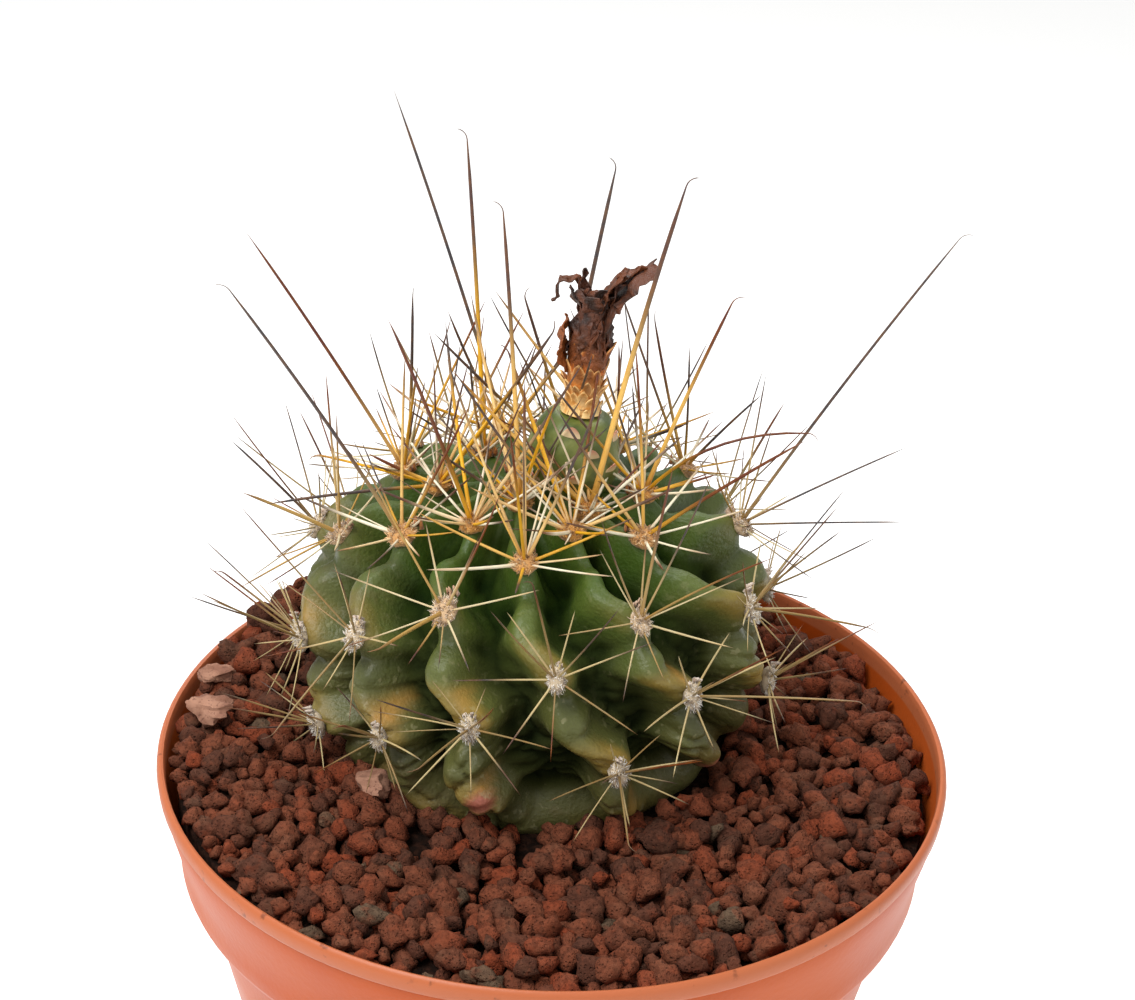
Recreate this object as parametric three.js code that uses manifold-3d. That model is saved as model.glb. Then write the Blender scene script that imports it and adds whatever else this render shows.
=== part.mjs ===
// A young Texas barrel cactus in a 14 cm plastic pot, with one fruit and its dried flower.
// Millimetres, +Z up. The origin is the centre of the pot's flat underside, and the front faces -Y.
import * as THREE from 'three';
import { mergeVertices } from 'three/addons/utils/BufferGeometryUtils.js';
import Module from 'manifold-3d';

const wasm = await Module();
wasm.setup();

// Clearance between pieces that rest against each other
const gap = 0.3;

// Radius and height of the wall's outer and inner face, from the foot up to the lip
const pot = {
  height: 110, floor: 2.2, sides: 36, foot: 44.6,
  outside: [[45.6, 2], [63.4, 88.4], [66.7, 89.6], [67, 94], [68.2, 100], [69.7, 105.5], [69.4, 107.4]],
  inside: [[43.8, 2.2], [61.9, 90.2], [65.2, 91.4], [68.5, 105.5], [68.5, 108.9]],
  lip: 70, lipDrop: 1.4, lipEdge: 0.4, drains: 6, drainRing: 34, drainRadius: 3.5,
};

// The gravel rises to the wall, lies higher on the left than on the right, and is heaped at the back left
const bed = {
  soilTop: 97, bottom: 97.6, level: 105.4, tilt: -0.032, bowl: 3, bowlFrom: 36, bowlTo: 62,
  heap: { x: -54, y: 40, tall: 6, reach: 26 }, rim: 67.6, spread: 65.8, keepOut: 37, areoleRoom: 9,
  stones: 66, stoneRadius: 7.3, stoneHeight: 3.9, stoneRise: 0.4, pebbleRise: 1.6,
};

const pebbles = [
  { name: 'pebble_1', x: -62, y: 12.4, size: [3.6, 3, 2.3], turn: 20 },
  { name: 'pebble_2', x: -61.6, y: 0.2, size: [5, 4.2, 3.4], turn: 10 },
  { name: 'pebble_3', x: -31.4, y: -14.5, size: [4.4, 3.6, 3.4], turn: -30 },
];

// The plant's own frame starts where its axis meets the plane of the pot's lip
const plant = {
  x: -3.5, y: 15, lean: 3, radius: 43, shoulder: 10, dome: 33, roundness: 2 / 3, taper: 0.14, taperSpan: 15,
  neck: -8, root: [[29, -12.4], [16, -20], [7, -34], [0, -46]],
};

// Ribs run down from the crown with a slight twist, and areoles stand along them in a spiral
const ribs = {
  count: 13, first: 7.5, twist: 0.52, twistFrom: 40, start: 8.8, pitch: 18.8, step: 7 / 13,
  groove: 8.4, dip: 1.6, sway: 5, wander: -4, crest: 0.4, swell: 0.18, last: 70.9,
  across: [-1, -0.56, -0.14, 0.14, 0.56],
  rowStep: 4.7, rowFirst: 6.1, rowLast: 82,
};

const felt = { size: [2.5, 3.1, 1.5], rise: 0.7 };

// Spines get shorter down the ribs: each millimetre on the way from the crown takes `less` off their length
const spine = {
  main: { radius: 0.8, length: 40, less: 0.36, vary: 8, lift: 0.7, hooked: 0.6 },
  central: { radius: 0.55, length: 36, less: 0.27, vary: 8, lift: 0.75, aside: 0.4 },
  radial: { radius: 0.45, length: 17, vary: 5, count: 7, spread: 71, crownSpread: 47 },
  hook: { radius: 1.7, turn: 125, steps: 3, drop: -10 },
  clearStem: 0.7, attempts: 90, bentFrom: 38,
};

// Long central spines: length, heading from the front towards +X, rise, and where the hook curls
const longSpines = {
  '7_0': { length: 66, heading: -130, rise: 64 },
  '8_0': { length: 59, heading: -150, rise: 82, curl: -90 },
  '0_0': { length: 53, heading: -150, rise: 81, curl: -90 },
  '6_0': { length: 53, heading: 150, rise: 70, curl: -90 },
  '2_0': { length: 62, heading: 100, rise: 77, curl: 90 },
  '3_0': { length: 39, heading: 112, rise: 67, curl: 90 },
  '3_1': { length: 65, heading: 100, rise: 57, curl: 90 },
  '9_0': { length: 52, heading: -95, rise: 58 },
  '9_1': { length: 24, heading: -80, rise: 50 },
  '11_0': { length: 57, heading: -72, rise: 60, curl: -90 },
  '12_0': { length: 42, heading: -75, rise: 70 },
  '2_1': { length: 36, heading: 70, rise: 42 },
  '2_2': { length: 31, heading: 38, rise: 20, curl: 60 },
  '1_2': { length: 31, heading: 66, rise: 15, curl: 60 },
  '11_1': { length: 33, heading: -18, rise: 0, curl: -60 },
  '0_3': { length: 22, heading: 4, rise: 2, curl: 30 },
  '10_1': { length: 20, heading: -70, rise: 32 },
  '10_2': { length: 18, heading: -80, rise: 30 },
  '12_1': { length: 25, heading: -22, rise: 14, curl: -80 },
  '12_2': { length: 24, heading: -18, rise: 16, curl: -80 },
};

// This areole bears the fruit and has no spines of its own
const fruitAreole = '4_0';

// Areoles that stand off the rule's place: degrees round the plant, and millimetres down the rib
const nudged = {
  '0_1': [0, -2], '0_2': [-3.5, 0], '1_1': [-4.5, 2], '1_2': [-3, -1.5], '2_1': [-6, -3],
  '10_3': [0, -4.5], '11_2': [1.5, -2.5], '12_3': [-8, 0],
};

// The fruit and the dried flower lean to the right; places are in the plant's frame
const fruit = {
  base: [6.6, 0, 41], top: [9.2, 0, 56.4], radius: 8.2, neck: 4.3, sides: 12, scales: 7, scaleSize: 1.1,
  room: 11.2,
};
const flower = {
  top: [13.6, 1, 84.5], tube: 3.7, tubeLength: 9, sides: 10, core: 0.62, bracts: 5, bractSize: 1.5,
  strips: 5, stripWidth: 7, thickness: 0.9, folds: 4,
};

const up = new THREE.Vector3(0, 0, 1);
const degrees = Math.PI / 180;

// A repeatable number from 0 to 1 for a pair of whole numbers
function chance(i, j) {
  const wave = Math.sin(i * 12.9898 + j * 78.233) * 43758.5453;
  return wave - Math.floor(wave);
}

function smooth(from, to, value) {
  const t = Math.min(Math.max((value - from) / (to - from), 0), 1);
  return t * t * (3 - 2 * t);
}

// A closed solid from a geometry, with shared corners and its faces outwards
function toSolid(geometry) {
  const bare = geometry.index ? geometry.toNonIndexed() : geometry.clone();
  bare.deleteAttribute('normal');
  bare.deleteAttribute('uv');
  const merged = mergeVertices(bare, 1e-4);
  const corners = merged.getAttribute('position');
  const index = merged.index.array;
  const triangles = [];
  for (let i = 0; i < index.length; i += 3) {
    const [a, b, c] = [index[i], index[i + 1], index[i + 2]];
    if (a !== b && b !== c && c !== a) triangles.push([a, b, c]);
  }
  const corner = (i) => new THREE.Vector3().fromBufferAttribute(corners, i);
  const signed = ([a, b, c]) => corner(a).dot(corner(b).cross(corner(c)));
  const volume = triangles.reduce((sum, triangle) => sum + signed(triangle), 0);
  const facing = volume < 0 ? triangles.map(([a, b, c]) => [a, c, b]) : triangles;
  return new wasm.Manifold(new wasm.Mesh({
    numProp: 3,
    vertProperties: Float32Array.from(corners.array),
    triVerts: Uint32Array.from(facing.flat()),
  }));
}

function join(solids) {
  return solids.reduce((all, next) => all.add(next));
}

// The largest body of a solid, so that no scrap of a cut stays loose
function mainBody(solid) {
  return solid.decompose().reduce((best, next) => (next.volume() > best.volume() ? next : best));
}

function finish(color, roughness) {
  return new THREE.MeshStandardMaterial({ color, roughness, metalness: 0 });
}

function named(name, solid, material) {
  const { vertProperties, triVerts } = mainBody(solid).getMesh();
  const geometry = new THREE.BufferGeometry();
  geometry.setAttribute('position', new THREE.BufferAttribute(vertProperties, 3));
  geometry.setIndex(new THREE.BufferAttribute(triVerts, 1));
  geometry.computeVertexNormals();
  const mesh = new THREE.Mesh(geometry, material);
  mesh.name = name;
  return mesh;
}

// A body turned about Z from a list of radius and height
function turned(points, sides) {
  const outline = points.map(([radius, height]) => new THREE.Vector2(radius, height));
  return new THREE.LatheGeometry(outline, sides).rotateX(Math.PI / 2);
}

function innerRadius(height) {
  const above = pot.inside.findIndex(([, z]) => z >= height);
  if (above < 1) return pot.inside.at(above)[0];
  const [[r0, z0], [r1, z1]] = pot.inside.slice(above - 1, above + 1);
  return r0 + (r1 - r0) * (height - z0) / (z1 - z0);
}

function potSolid() {
  const { height, floor, foot, lip, lipDrop, lipEdge, outside, inside, drainRing, drainRadius } = pot;
  const edge = [[lip, height - lipDrop], [lip - lipEdge, height]];
  const body = turned([[0, 0], [foot, 0], ...outside, ...edge, ...inside.toReversed(), [0, floor]], pot.sides);
  const drains = [];
  for (let i = 0; i < pot.drains; i++) {
    const angle = (i + 0.5) / pot.drains * 2 * Math.PI;
    const drain = new THREE.CylinderGeometry(drainRadius, drainRadius, 4 * floor, 10);
    drain.rotateX(Math.PI / 2).translate(drainRing * Math.cos(angle), drainRing * Math.sin(angle), 0);
    drains.push(toSolid(drain));
  }
  return toSolid(body).subtract(join(drains));
}

// The space inside the pot's wall, between two heights, a gap clear of the wall and of the step in it
function potFilling(bottom, top) {
  const heights = pot.inside.map(([, z]) => z + gap).filter((z) => z > bottom && z < top);
  const side = [bottom, ...heights, top].map((z) => [innerRadius(z - gap) - gap - 0.1, z]);
  return toSolid(turned([[0, bottom], ...side, [0, top]], pot.sides));
}

// The plant's smooth outline, as radius, height and the way down from the crown
function plantOutline() {
  const { radius, shoulder, dome, roundness, taper, taperSpan, neck, root } = plant;
  const points = [];
  for (let i = 0; i <= 90; i++) {
    const t = i / 180 * Math.PI;
    points.push([radius * Math.sin(t) ** roundness, shoulder + dome * Math.abs(Math.cos(t)) ** roundness]);
  }
  for (let z = shoulder - 1; z >= neck; z -= 1) {
    points.push([radius * (1 - taper * ((shoulder - z) / taperSpan) ** 2), z]);
  }
  points.push(...root);
  let way = 0;
  return points.map(([r, z], i) => {
    if (i > 0) way += Math.hypot(r - points[i - 1][0], z - points[i - 1][1]);
    return { r, z, way };
  });
}

const stemOutline = plantOutline();

function outlineAt(way) {
  const i = Math.max(stemOutline.findIndex((point) => point.way >= way), 1);
  const [a, b] = [stemOutline[i - 1], stemOutline[i]];
  const t = (way - a.way) / (b.way - a.way);
  return { r: a.r + (b.r - a.r) * t, z: a.z + (b.z - a.z) * t };
}

// Place and outward direction on the smooth outline
function outlineFrame(way) {
  const { r, z } = outlineAt(way);
  const before = outlineAt(Math.max(way - 0.5, 0));
  const after = outlineAt(way + 0.5);
  const length = Math.hypot(after.r - before.r, after.z - before.z);
  return { r, z, outR: (before.z - after.z) / length, outZ: (after.r - before.r) / length };
}

function areoleStart(rib) {
  const turns = rib * ribs.step;
  return ribs.start + ribs.pitch * (turns - Math.floor(turns));
}

// How far a rib is moved here by its nudged areoles: which is 0 for round the plant, 1 for down the rib
function nudge(rib, way, which) {
  const number = (rib + ribs.count) % ribs.count;
  let sum = 0;
  for (let row = 0; row < 5; row++) {
    const away = Math.abs(way - areoleStart(number) - row * ribs.pitch) / ribs.pitch;
    const move = nudged[`${number}_${row}`];
    if (move && away < 1) sum += move[which] * Math.cos(away * Math.PI / 2) ** 2;
  }
  return sum;
}

// 1 at an areole of the rib and 0 halfway between two
function fullness(rib, way) {
  const start = areoleStart((rib + ribs.count) % ribs.count) + nudge(rib, way, 1);
  return 0.5 + 0.5 * Math.cos(2 * Math.PI * (way - start) / ribs.pitch);
}

function ribAzimuth(rib, way) {
  const straight = ribs.first + rib * 360 / ribs.count + ribs.twist * (way - ribs.twistFrom);
  return straight + nudge(rib, way, 0);
}

// A rib's crest winds: between two areoles it runs to one side
function crestAzimuth(rib, way) {
  return ribAzimuth(rib, way) + ribs.wander * smooth(10, 30, way) * (1 - fullness(rib, way));
}

function grooveAzimuth(rib, way) {
  const sway = ribs.sway * smooth(8, 24, way) * (fullness(rib, way) - fullness(rib + 1, way)) / 2;
  return (crestAzimuth(rib, way) + crestAzimuth(rib + 1, way)) / 2 + sway;
}

function stemPoint(rib, across, way, swell) {
  const { r, z, outR, outZ } = outlineFrame(way);
  const side = across < 0 ? grooveAzimuth(rib - 1, way) : grooveAzimuth(rib, way);
  const azimuth = THREE.MathUtils.lerp(crestAzimuth(rib, way), side, Math.abs(across)) * degrees;
  const fade = 1 - smooth(80, 86, way);
  const full = fullness(rib, way);
  const slope = 1 - Math.exp(-((across / (ribs.crest + ribs.swell * full)) ** 2));
  const groove = ribs.groove * smooth(1, 27, way) * slope;
  const dip = ribs.dip * smooth(6, 22, way) * (1 - full) * (1 - across * across);
  const raise = swell - fade * (groove + dip);
  const radius = Math.max(r + outR * raise, 0);
  return new THREE.Vector3(radius * Math.sin(azimuth), -radius * Math.cos(azimuth), z + outZ * raise);
}

// The ribbed body and its root, raised from the outline by a formula
function stemSolid(swell) {
  const rows = [];
  for (let way = ribs.rowFirst; way < ribs.rowLast; way += ribs.rowStep) rows.push(way);
  const isBuried = (point) => point.way > ribs.rowLast && point.r > 0 && point.z <= plant.neck;
  const buried = stemOutline.filter(isBuried);
  rows.push(...buried.map((point) => point.way));
  const rings = rows.map((way) => {
    const ring = [];
    for (let rib = 0; rib < ribs.count; rib++) {
      for (const across of ribs.across) ring.push(stemPoint(rib, across, way, swell));
    }
    return ring;
  });
  const crown = new THREE.Vector3(0, 0, stemOutline[0].z + swell - 1);
  const tip = new THREE.Vector3(0, 0, stemOutline.at(-1).z - swell);
  const faces = [];
  const sides = rings[0].length;
  for (let i = 0; i < sides; i++) {
    const j = (i + 1) % sides;
    faces.push(crown, rings[0][i], rings[0][j]);
    for (let k = 0; k + 1 < rings.length; k++) {
      const [a, b, c, d] = [rings[k][i], rings[k][j], rings[k + 1][j], rings[k + 1][i]];
      faces.push(a, d, c, a, c, b);
    }
    faces.push(tip, rings.at(-1)[j], rings.at(-1)[i]);
  }
  return new THREE.BufferGeometry().setFromPoints(faces);
}

// The plant's frame in the pot's
const plantPlace = new THREE.Matrix4()
  .makeRotationY(-plant.lean * degrees)
  .setPosition(plant.x, plant.y, pot.height);
const plantBack = plantPlace.clone().invert();

function bedLevel(x, y) {
  const { level, tilt, bowl, bowlFrom, bowlTo, heap } = bed;
  const heaped = heap.tall * (1 - smooth(0, heap.reach, Math.hypot(x - heap.x, y - heap.y)));
  return level + tilt * x + bowl * smooth(bowlFrom, bowlTo, Math.hypot(x, y)) + heaped;
}

// A rough stone: a 20-sided ball with its shared corners moved a little in or out
function stone(wide, deep, tall, seed) {
  const ball = new THREE.IcosahedronGeometry(1, 0);
  ball.deleteAttribute('normal');
  ball.deleteAttribute('uv');
  const shape = mergeVertices(ball, 1e-3);
  const corners = shape.getAttribute('position');
  for (let i = 0; i < corners.count; i++) {
    const corner = new THREE.Vector3().fromBufferAttribute(corners, i);
    corners.setXYZ(i, ...corner.multiplyScalar(0.84 + 0.3 * chance(seed, i)));
  }
  return shape.rotateX(chance(seed, 91) * 6).rotateZ(chance(seed, 92) * 6).scale(wide, deep, tall);
}

function pebbleGeometry({ x, y, size, turn }, grow) {
  const sizes = size.map((half) => half + grow);
  return stone(...sizes, 7 * x).rotateZ(turn * degrees).translate(x, y, bedLevel(x, y) + bed.pebbleRise);
}

// The room that the stem takes in the gravel
const plantHole = toSolid(stemSolid(1.5 * gap).applyMatrix4(plantPlace));

// A disc with a top like a shallow bowl, under the stones
function bedSlab() {
  const { bottom, rim, level, bowlFrom } = bed;
  const outline = [[0, bottom], [rim, bottom], [rim, level], [bowlFrom, level], [0, level]];
  const slab = turned(outline, pot.sides).toNonIndexed();
  const corners = slab.getAttribute('position');
  for (let i = 0; i < corners.count; i++) {
    if (corners.getZ(i) > bottom + 1) corners.setZ(i, bedLevel(corners.getX(i), corners.getY(i)));
  }
  return toSolid(slab);
}

// Coarse stones spread over the slab, fewer and larger than the real granules
function gravelSolid() {
  const { bottom, stones, spread, stoneRadius, stoneHeight, keepOut } = bed;
  const golden = Math.PI * (3 - Math.sqrt(5));
  const pieces = [bedSlab()];
  const lowAreoles = allAreoles().map(({ place }) => place.clone().applyMatrix4(plantPlace))
    .filter((spot) => spot.z < bed.level + 10);
  for (let i = 0; i < stones; i++) {
    const radius = spread * Math.sqrt((i + 0.5) / stones);
    const x = radius * Math.cos(i * golden) + 2 * (chance(i, 1) - 0.5);
    const y = radius * Math.sin(i * golden) + 2 * (chance(i, 2) - 0.5);
    const besideAreole = lowAreoles.some((spot) => Math.hypot(x - spot.x, y - spot.y) < bed.areoleRoom);
    if (besideAreole || Math.hypot(x - plant.x, y - plant.y) < keepOut) continue;
    const wide = stoneRadius * (0.85 + 0.25 * chance(i, 3));
    const deep = stoneRadius * (0.8 + 0.25 * chance(i, 4));
    const tall = stoneHeight * (0.8 + 0.4 * chance(i, 5));
    pieces.push(toSolid(stone(wide, deep, tall, i).translate(x, y, bedLevel(x, y) + bed.stoneRise)));
  }
  const heap = join(pieces).intersect(potFilling(bottom, bed.level + 14));
  const holes = pebbles.map((pebble) => toSolid(pebbleGeometry(pebble, gap)));
  return heap.subtract(join([plantHole, ...holes]));
}

// The root stands in a plain tapering hole
function soilSolid() {
  const tip = [0, plant.root.at(-1)[1] - 2];
  const side = [...plant.root.toReversed(), [plant.radius, 0]].map(([r, z]) => [r * 1.02 + 0.9, z]);
  const hole = toSolid(turned([tip, ...side, [0, 0]], 24).applyMatrix4(plantPlace));
  return potFilling(pot.floor + gap, bed.soilTop).subtract(hole);
}

// An areole's way down from the crown; those beside the fruit are pushed outwards
function areoleWay(rib, row) {
  const way = areoleStart(rib) + ribs.pitch * row + (nudged[`${rib}_${row}`]?.[1] ?? 0);
  const azimuth = ribAzimuth(rib, way) * degrees;
  const { r } = outlineAt(way);
  const toFruit = Math.hypot(r * Math.sin(azimuth) - fruit.base[0], -r * Math.cos(azimuth) - fruit.base[1]);
  return way + Math.max(fruit.room - toFruit, 0);
}

// An areole's place and directions in the plant's frame
function areole(rib, row) {
  const way = areoleWay(rib, row);
  const { r, z, outR, outZ } = outlineFrame(way);
  const azimuth = ribAzimuth(rib, way) * degrees;
  const outward = new THREE.Vector3(Math.sin(azimuth), -Math.cos(azimuth), 0);
  const side = new THREE.Vector3(Math.cos(azimuth), Math.sin(azimuth), 0);
  const normal = outward.clone().multiplyScalar(outR).addScaledVector(up, outZ);
  const upward = normal.clone().cross(side);
  const place = outward.clone().multiplyScalar(r).addScaledVector(up, z);
  return { name: `${rib}_${row}`, rib, row, way, place, normal, upward, side };
}

function allAreoles() {
  const list = [];
  for (let rib = 0; rib < ribs.count; rib++) {
    for (let row = 0; areoleWay(rib, row) < ribs.last; row++) list.push(areole(rib, row));
  }
  return list.filter(({ name }) => name !== fruitAreole);
}

// A direction from a heading and a rise in degrees, turned into the plant's frame
function direction(heading, rise) {
  const flat = Math.cos(rise * degrees);
  const way = new THREE.Vector3(flat * Math.sin(heading * degrees), -flat * Math.cos(heading * degrees),
    Math.sin(rise * degrees));
  return way.transformDirection(plantBack);
}

// The middle line of a straight or hooked spine, from its root to its tip
function spineLine(root, along, length, curl) {
  const tip = root.clone().addScaledVector(along, length);
  if (!curl) return length > spine.bentFrom ? [root, root.clone().lerp(tip, 0.6), tip] : [root, tip];
  const { radius, turn, steps } = spine.hook;
  const bend = root.clone().addScaledVector(along, length - radius);
  const line = [root, root.clone().lerp(bend, 0.5), bend];
  const across = curl.clone().addScaledVector(along, -curl.dot(along)).normalize();
  for (let i = 1; i <= steps; i++) {
    const angle = i / steps * turn * degrees;
    line.push(bend.clone().addScaledVector(along, radius * Math.sin(angle))
      .addScaledVector(across, radius * (1 - Math.cos(angle))));
  }
  return line;
}

// A cone bent along a line, that keeps its thickness until near its tip
function spineGeometry(line, radius, sides) {
  const steps = line.length - 1;
  const cone = new THREE.ConeGeometry(radius, 1, sides, steps);
  const corners = cone.getAttribute('position');
  const tangents = line.map((point, i) => {
    const from = line[Math.max(i - 1, 0)];
    return line[Math.min(i + 1, steps)].clone().sub(from).normalize();
  });
  let across = new THREE.Vector3(0.31, 0.53, 0.79).cross(tangents[0]).normalize();
  const frames = tangents.map((tangent) => {
    across = across.clone().addScaledVector(tangent, -across.dot(tangent)).normalize();
    return { across, other: tangent.clone().cross(across) };
  });
  for (let i = 0; i < corners.count; i++) {
    const t = corners.getY(i) + 0.5;
    const ring = Math.round(t * steps);
    const keep = steps > 1 && t < 0.999 ? (1 - 0.5 * t - 0.5 * t ** 8) / (1 - t) : 1;
    const place = line[ring].clone()
      .addScaledVector(frames[ring].across, corners.getX(i) * keep)
      .addScaledVector(frames[ring].other, corners.getZ(i) * keep);
    corners.setXYZ(i, ...place);
  }
  return cone;
}

// The shortest distance between two straight stretches
function stretchDistance([p, q], [a, b]) {
  const d = q.clone().sub(p);
  const e = b.clone().sub(a);
  const w = p.clone().sub(a);
  const [dd, ee, de] = [d.dot(d), e.dot(e), d.dot(e)];
  const clamp = (value) => Math.min(Math.max(value, 0), 1);
  const cross = dd * ee - de * de;
  let s = cross > 1e-9 ? clamp((de * e.dot(w) - ee * d.dot(w)) / cross) : 0;
  const t = ee > 1e-9 ? clamp((e.dot(w) + s * de) / ee) : 0;
  s = dd > 1e-9 ? clamp((t * de - d.dot(w)) / dd) : 0;
  return w.addScaledVector(d, s).addScaledVector(e, -t).length();
}

function stretches(line) {
  return line.slice(1).map((point, i) => [line[i], point]);
}

// How far a point lies outside the plant's smooth outline
function outsideStem(point) {
  const r = Math.hypot(point.x, point.y);
  const { radius, shoulder, dome, roundness, taper, taperSpan } = plant;
  if (point.z < shoulder) return r - radius * (1 - taper * ((shoulder - point.z) / taperSpan) ** 2);
  const power = 2 / roundness;
  return (((r / radius) ** power + ((point.z - shoulder) / dome) ** power) ** (1 / power) - 1) * dome;
}

// Clear of the stem and of the pot's lip
function clearOfBodies(line, radius) {
  return stretches(line).every(([from, to]) => {
    const parts = Math.ceil(from.distanceTo(to) / 2);
    for (let i = 1; i <= parts; i++) {
      const point = from.clone().lerp(to, i / parts);
      if (point.distanceTo(line[0]) > 3 && outsideStem(point) < radius + spine.clearStem) return false;
      const inPot = point.applyMatrix4(plantPlace);
      if (Math.hypot(inPot.x, inPot.y) > bed.rim - 2 && inPot.z < pot.height + 2 * radius) return false;
    }
    return true;
  });
}

function clearOfGravel(line, radius, ground) {
  if (line.every((point) => point.clone().applyMatrix4(plantPlace).z > bed.level + 12)) return true;
  const needle = spineGeometry(line, radius + gap, 3).applyMatrix4(plantPlace);
  return toSolid(needle).intersect(ground).isEmpty();
}

// Every spine that has been placed, as stretches that the next ones keep clear of
const placed = [];

function clearOfOthers(line, radius, owner) {
  const own = stretches(line);
  return placed.every((other) => other.owner === owner || own.every((stretch) => (
    stretchDistance(stretch, other.stretch) > radius + other.radius + gap)));
}

function keep(line, radius, owner) {
  for (const stretch of stretches(line)) placed.push({ owner, radius, stretch });
}

// Tries a spine at its own direction first and then turned and shortened, until it is clear
function placeSpine(site, along, length, radius, curl, seed) {
  const root = site.place.clone().addScaledVector(site.normal, felt.rise);
  for (let attempt = 0; attempt < spine.attempts; attempt++) {
    const turn = attempt * 0.011;
    const nudged = along.clone()
      .addScaledVector(site.side, turn * 2 * (chance(seed, attempt) - 0.5))
      .addScaledVector(site.upward, turn * 2 * (chance(attempt, seed) - 0.5))
      .addScaledVector(site.normal, turn * chance(seed + 7, attempt))
      .normalize();
    const line = spineLine(root, nudged, length * (1 - 0.006 * attempt), curl);
    if (clearOfBodies(line, radius) && clearOfOthers(line, radius, site.name)
      && clearOfGravel(line, radius, site.ground)) {
      keep(line, radius, site.name);
      return { line, radius };
    }
  }
  return null;
}

// The thick central spine of an areole, as long as on the real plant where that one shows
function mainSpine(site, number) {
  const { radius, length, less, vary, lift, hooked } = spine.main;
  const given = longSpines[site.name];
  if (given) {
    const curl = given.curl === undefined ? null : direction(given.curl, spine.hook.drop);
    return placeSpine(site, direction(given.heading, given.rise), given.length, radius, curl, number);
  }
  const along = site.normal.clone().addScaledVector(site.upward, lift + 0.4 * chance(number, 3))
    .addScaledVector(site.side, 0.5 * (chance(number, 4) - 0.5)).normalize();
  const long = length - less * site.way + vary * chance(number, 5);
  const aside = site.side.clone().multiplyScalar(chance(number, 6) - 0.5);
  const curl = chance(number, 7) < hooked ? aside.addScaledVector(site.upward, -0.3) : null;
  return placeSpine(site, along, long, radius, curl, number);
}

// Two straight central spines that stand above the thick one
function centralSpines(site, number) {
  const { radius, length, less, vary, lift, aside } = spine.central;
  return [-1, 1].map((hand) => {
    const along = site.normal.clone().addScaledVector(site.upward, lift)
      .addScaledVector(site.side, hand * (aside + 0.2 * chance(number, hand + 12))).normalize();
    const long = length - less * site.way + vary * chance(number, hand + 14);
    return placeSpine(site, along, long, radius, null, number + hand * 0.37);
  });
}

// Radial spines lie low around the areole, and the upper ones are the longest
function radialSpines(site, number) {
  const { radius, length, vary, count, spread, crownSpread } = spine.radial;
  const slant = THREE.MathUtils.lerp(crownSpread, spread, smooth(8, 32, site.way)) * degrees;
  const list = [];
  for (let i = 0; i < count; i++) {
    const angle = (i + 0.5 + 0.4 * (chance(number, i + 20) - 0.5)) / count * 2 * Math.PI;
    const along = site.normal.clone().multiplyScalar(Math.cos(slant))
      .addScaledVector(site.upward, Math.sin(slant) * Math.cos(angle))
      .addScaledVector(site.side, Math.sin(slant) * Math.sin(angle));
    const even = length + vary * (Math.cos(angle) + chance(number, i + 40));
    list.push(placeSpine(site, along, even * (1.25 - 0.0095 * site.way), radius, null, number + i * 1.3));
  }
  return list;
}

function feltSolid(site) {
  const frame = new THREE.Matrix4().makeBasis(site.side, site.upward, site.normal)
    .setPosition(site.place.clone().addScaledVector(site.normal, felt.rise));
  return toSolid(new THREE.IcosahedronGeometry(1, 0).scale(...felt.size).applyMatrix4(frame));
}

// One bunch for each areole: its felt with its spines, seated on the stem
function bunches(stemRoom, ground) {
  const sites = allAreoles().map((site) => ({ ...site, ground }));
  for (const site of sites) {
    const middle = site.place.clone().addScaledVector(site.normal, 0.6);
    placed.push({ owner: site.name, radius: felt.size[1], stretch: [middle, middle] });
  }
  const spines = sites.map(() => []);
  for (const kind of [mainSpine, centralSpines, radialSpines]) {
    sites.forEach((site, number) => {
      const found = [kind(site, number + 1)].flat().filter(Boolean);
      spines[number].push(...found);
    });
  }
  return sites.map((site, number) => {
    const needles = spines[number].map(({ line, radius }) => toSolid(spineGeometry(line, radius, 3)));
    const bunch = join([feltSolid(site), ...needles]).subtract(stemRoom);
    const color = new THREE.Color(0xc98f35).lerp(new THREE.Color(0xb5a58a), smooth(15, 65, site.way));
    return named(`areole_${site.name}`, bunch, finish(color, 0.6));
  });
}

// The frame of a piece that stands on a point and reaches to another
function standing(base, top) {
  const foot = new THREE.Vector3(...base);
  const axis = new THREE.Vector3(...top).sub(foot);
  const turn = new THREE.Quaternion().setFromUnitVectors(up, axis.clone().normalize());
  const place = new THREE.Matrix4().makeRotationFromQuaternion(turn).setPosition(foot);
  return { length: axis.length(), place };
}

// A small pointed scale that leans against the skin of a turned body
function scale(radius, height, angle, size) {
  const cone = new THREE.ConeGeometry(size, 2.2 * size, 4, 1).rotateX(Math.PI / 2).scale(0.45, 1, 1);
  cone.rotateY(-10 * degrees).translate(radius, 0, height).rotateZ(angle);
  return toSolid(cone);
}

function fruitSolid(stemRoom) {
  const { radius, neck, sides, scales, scaleSize } = fruit;
  const { length, place } = standing(fruit.base, fruit.top);
  const side = [[5.4, 0], [7.4, 3.8], [radius, 7.4], [7.3, 10.8], [5.7, length - 1.6], [neck, length]];
  const parts = [toSolid(turned([[0, -3], [3.6, -3], ...side, [0, length]], sides))];
  const skin = new THREE.SplineCurve(side.map(([r, z]) => new THREE.Vector2(r, z)));
  for (let i = 0; i < scales; i++) {
    const spot = skin.getPoint(0.12 + 0.8 * i / scales);
    parts.push(scale(spot.x - 0.1, spot.y, i * 2.4, scaleSize));
  }
  return toSolid(bakedInto(join(parts), place)).subtract(stemRoom);
}

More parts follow.
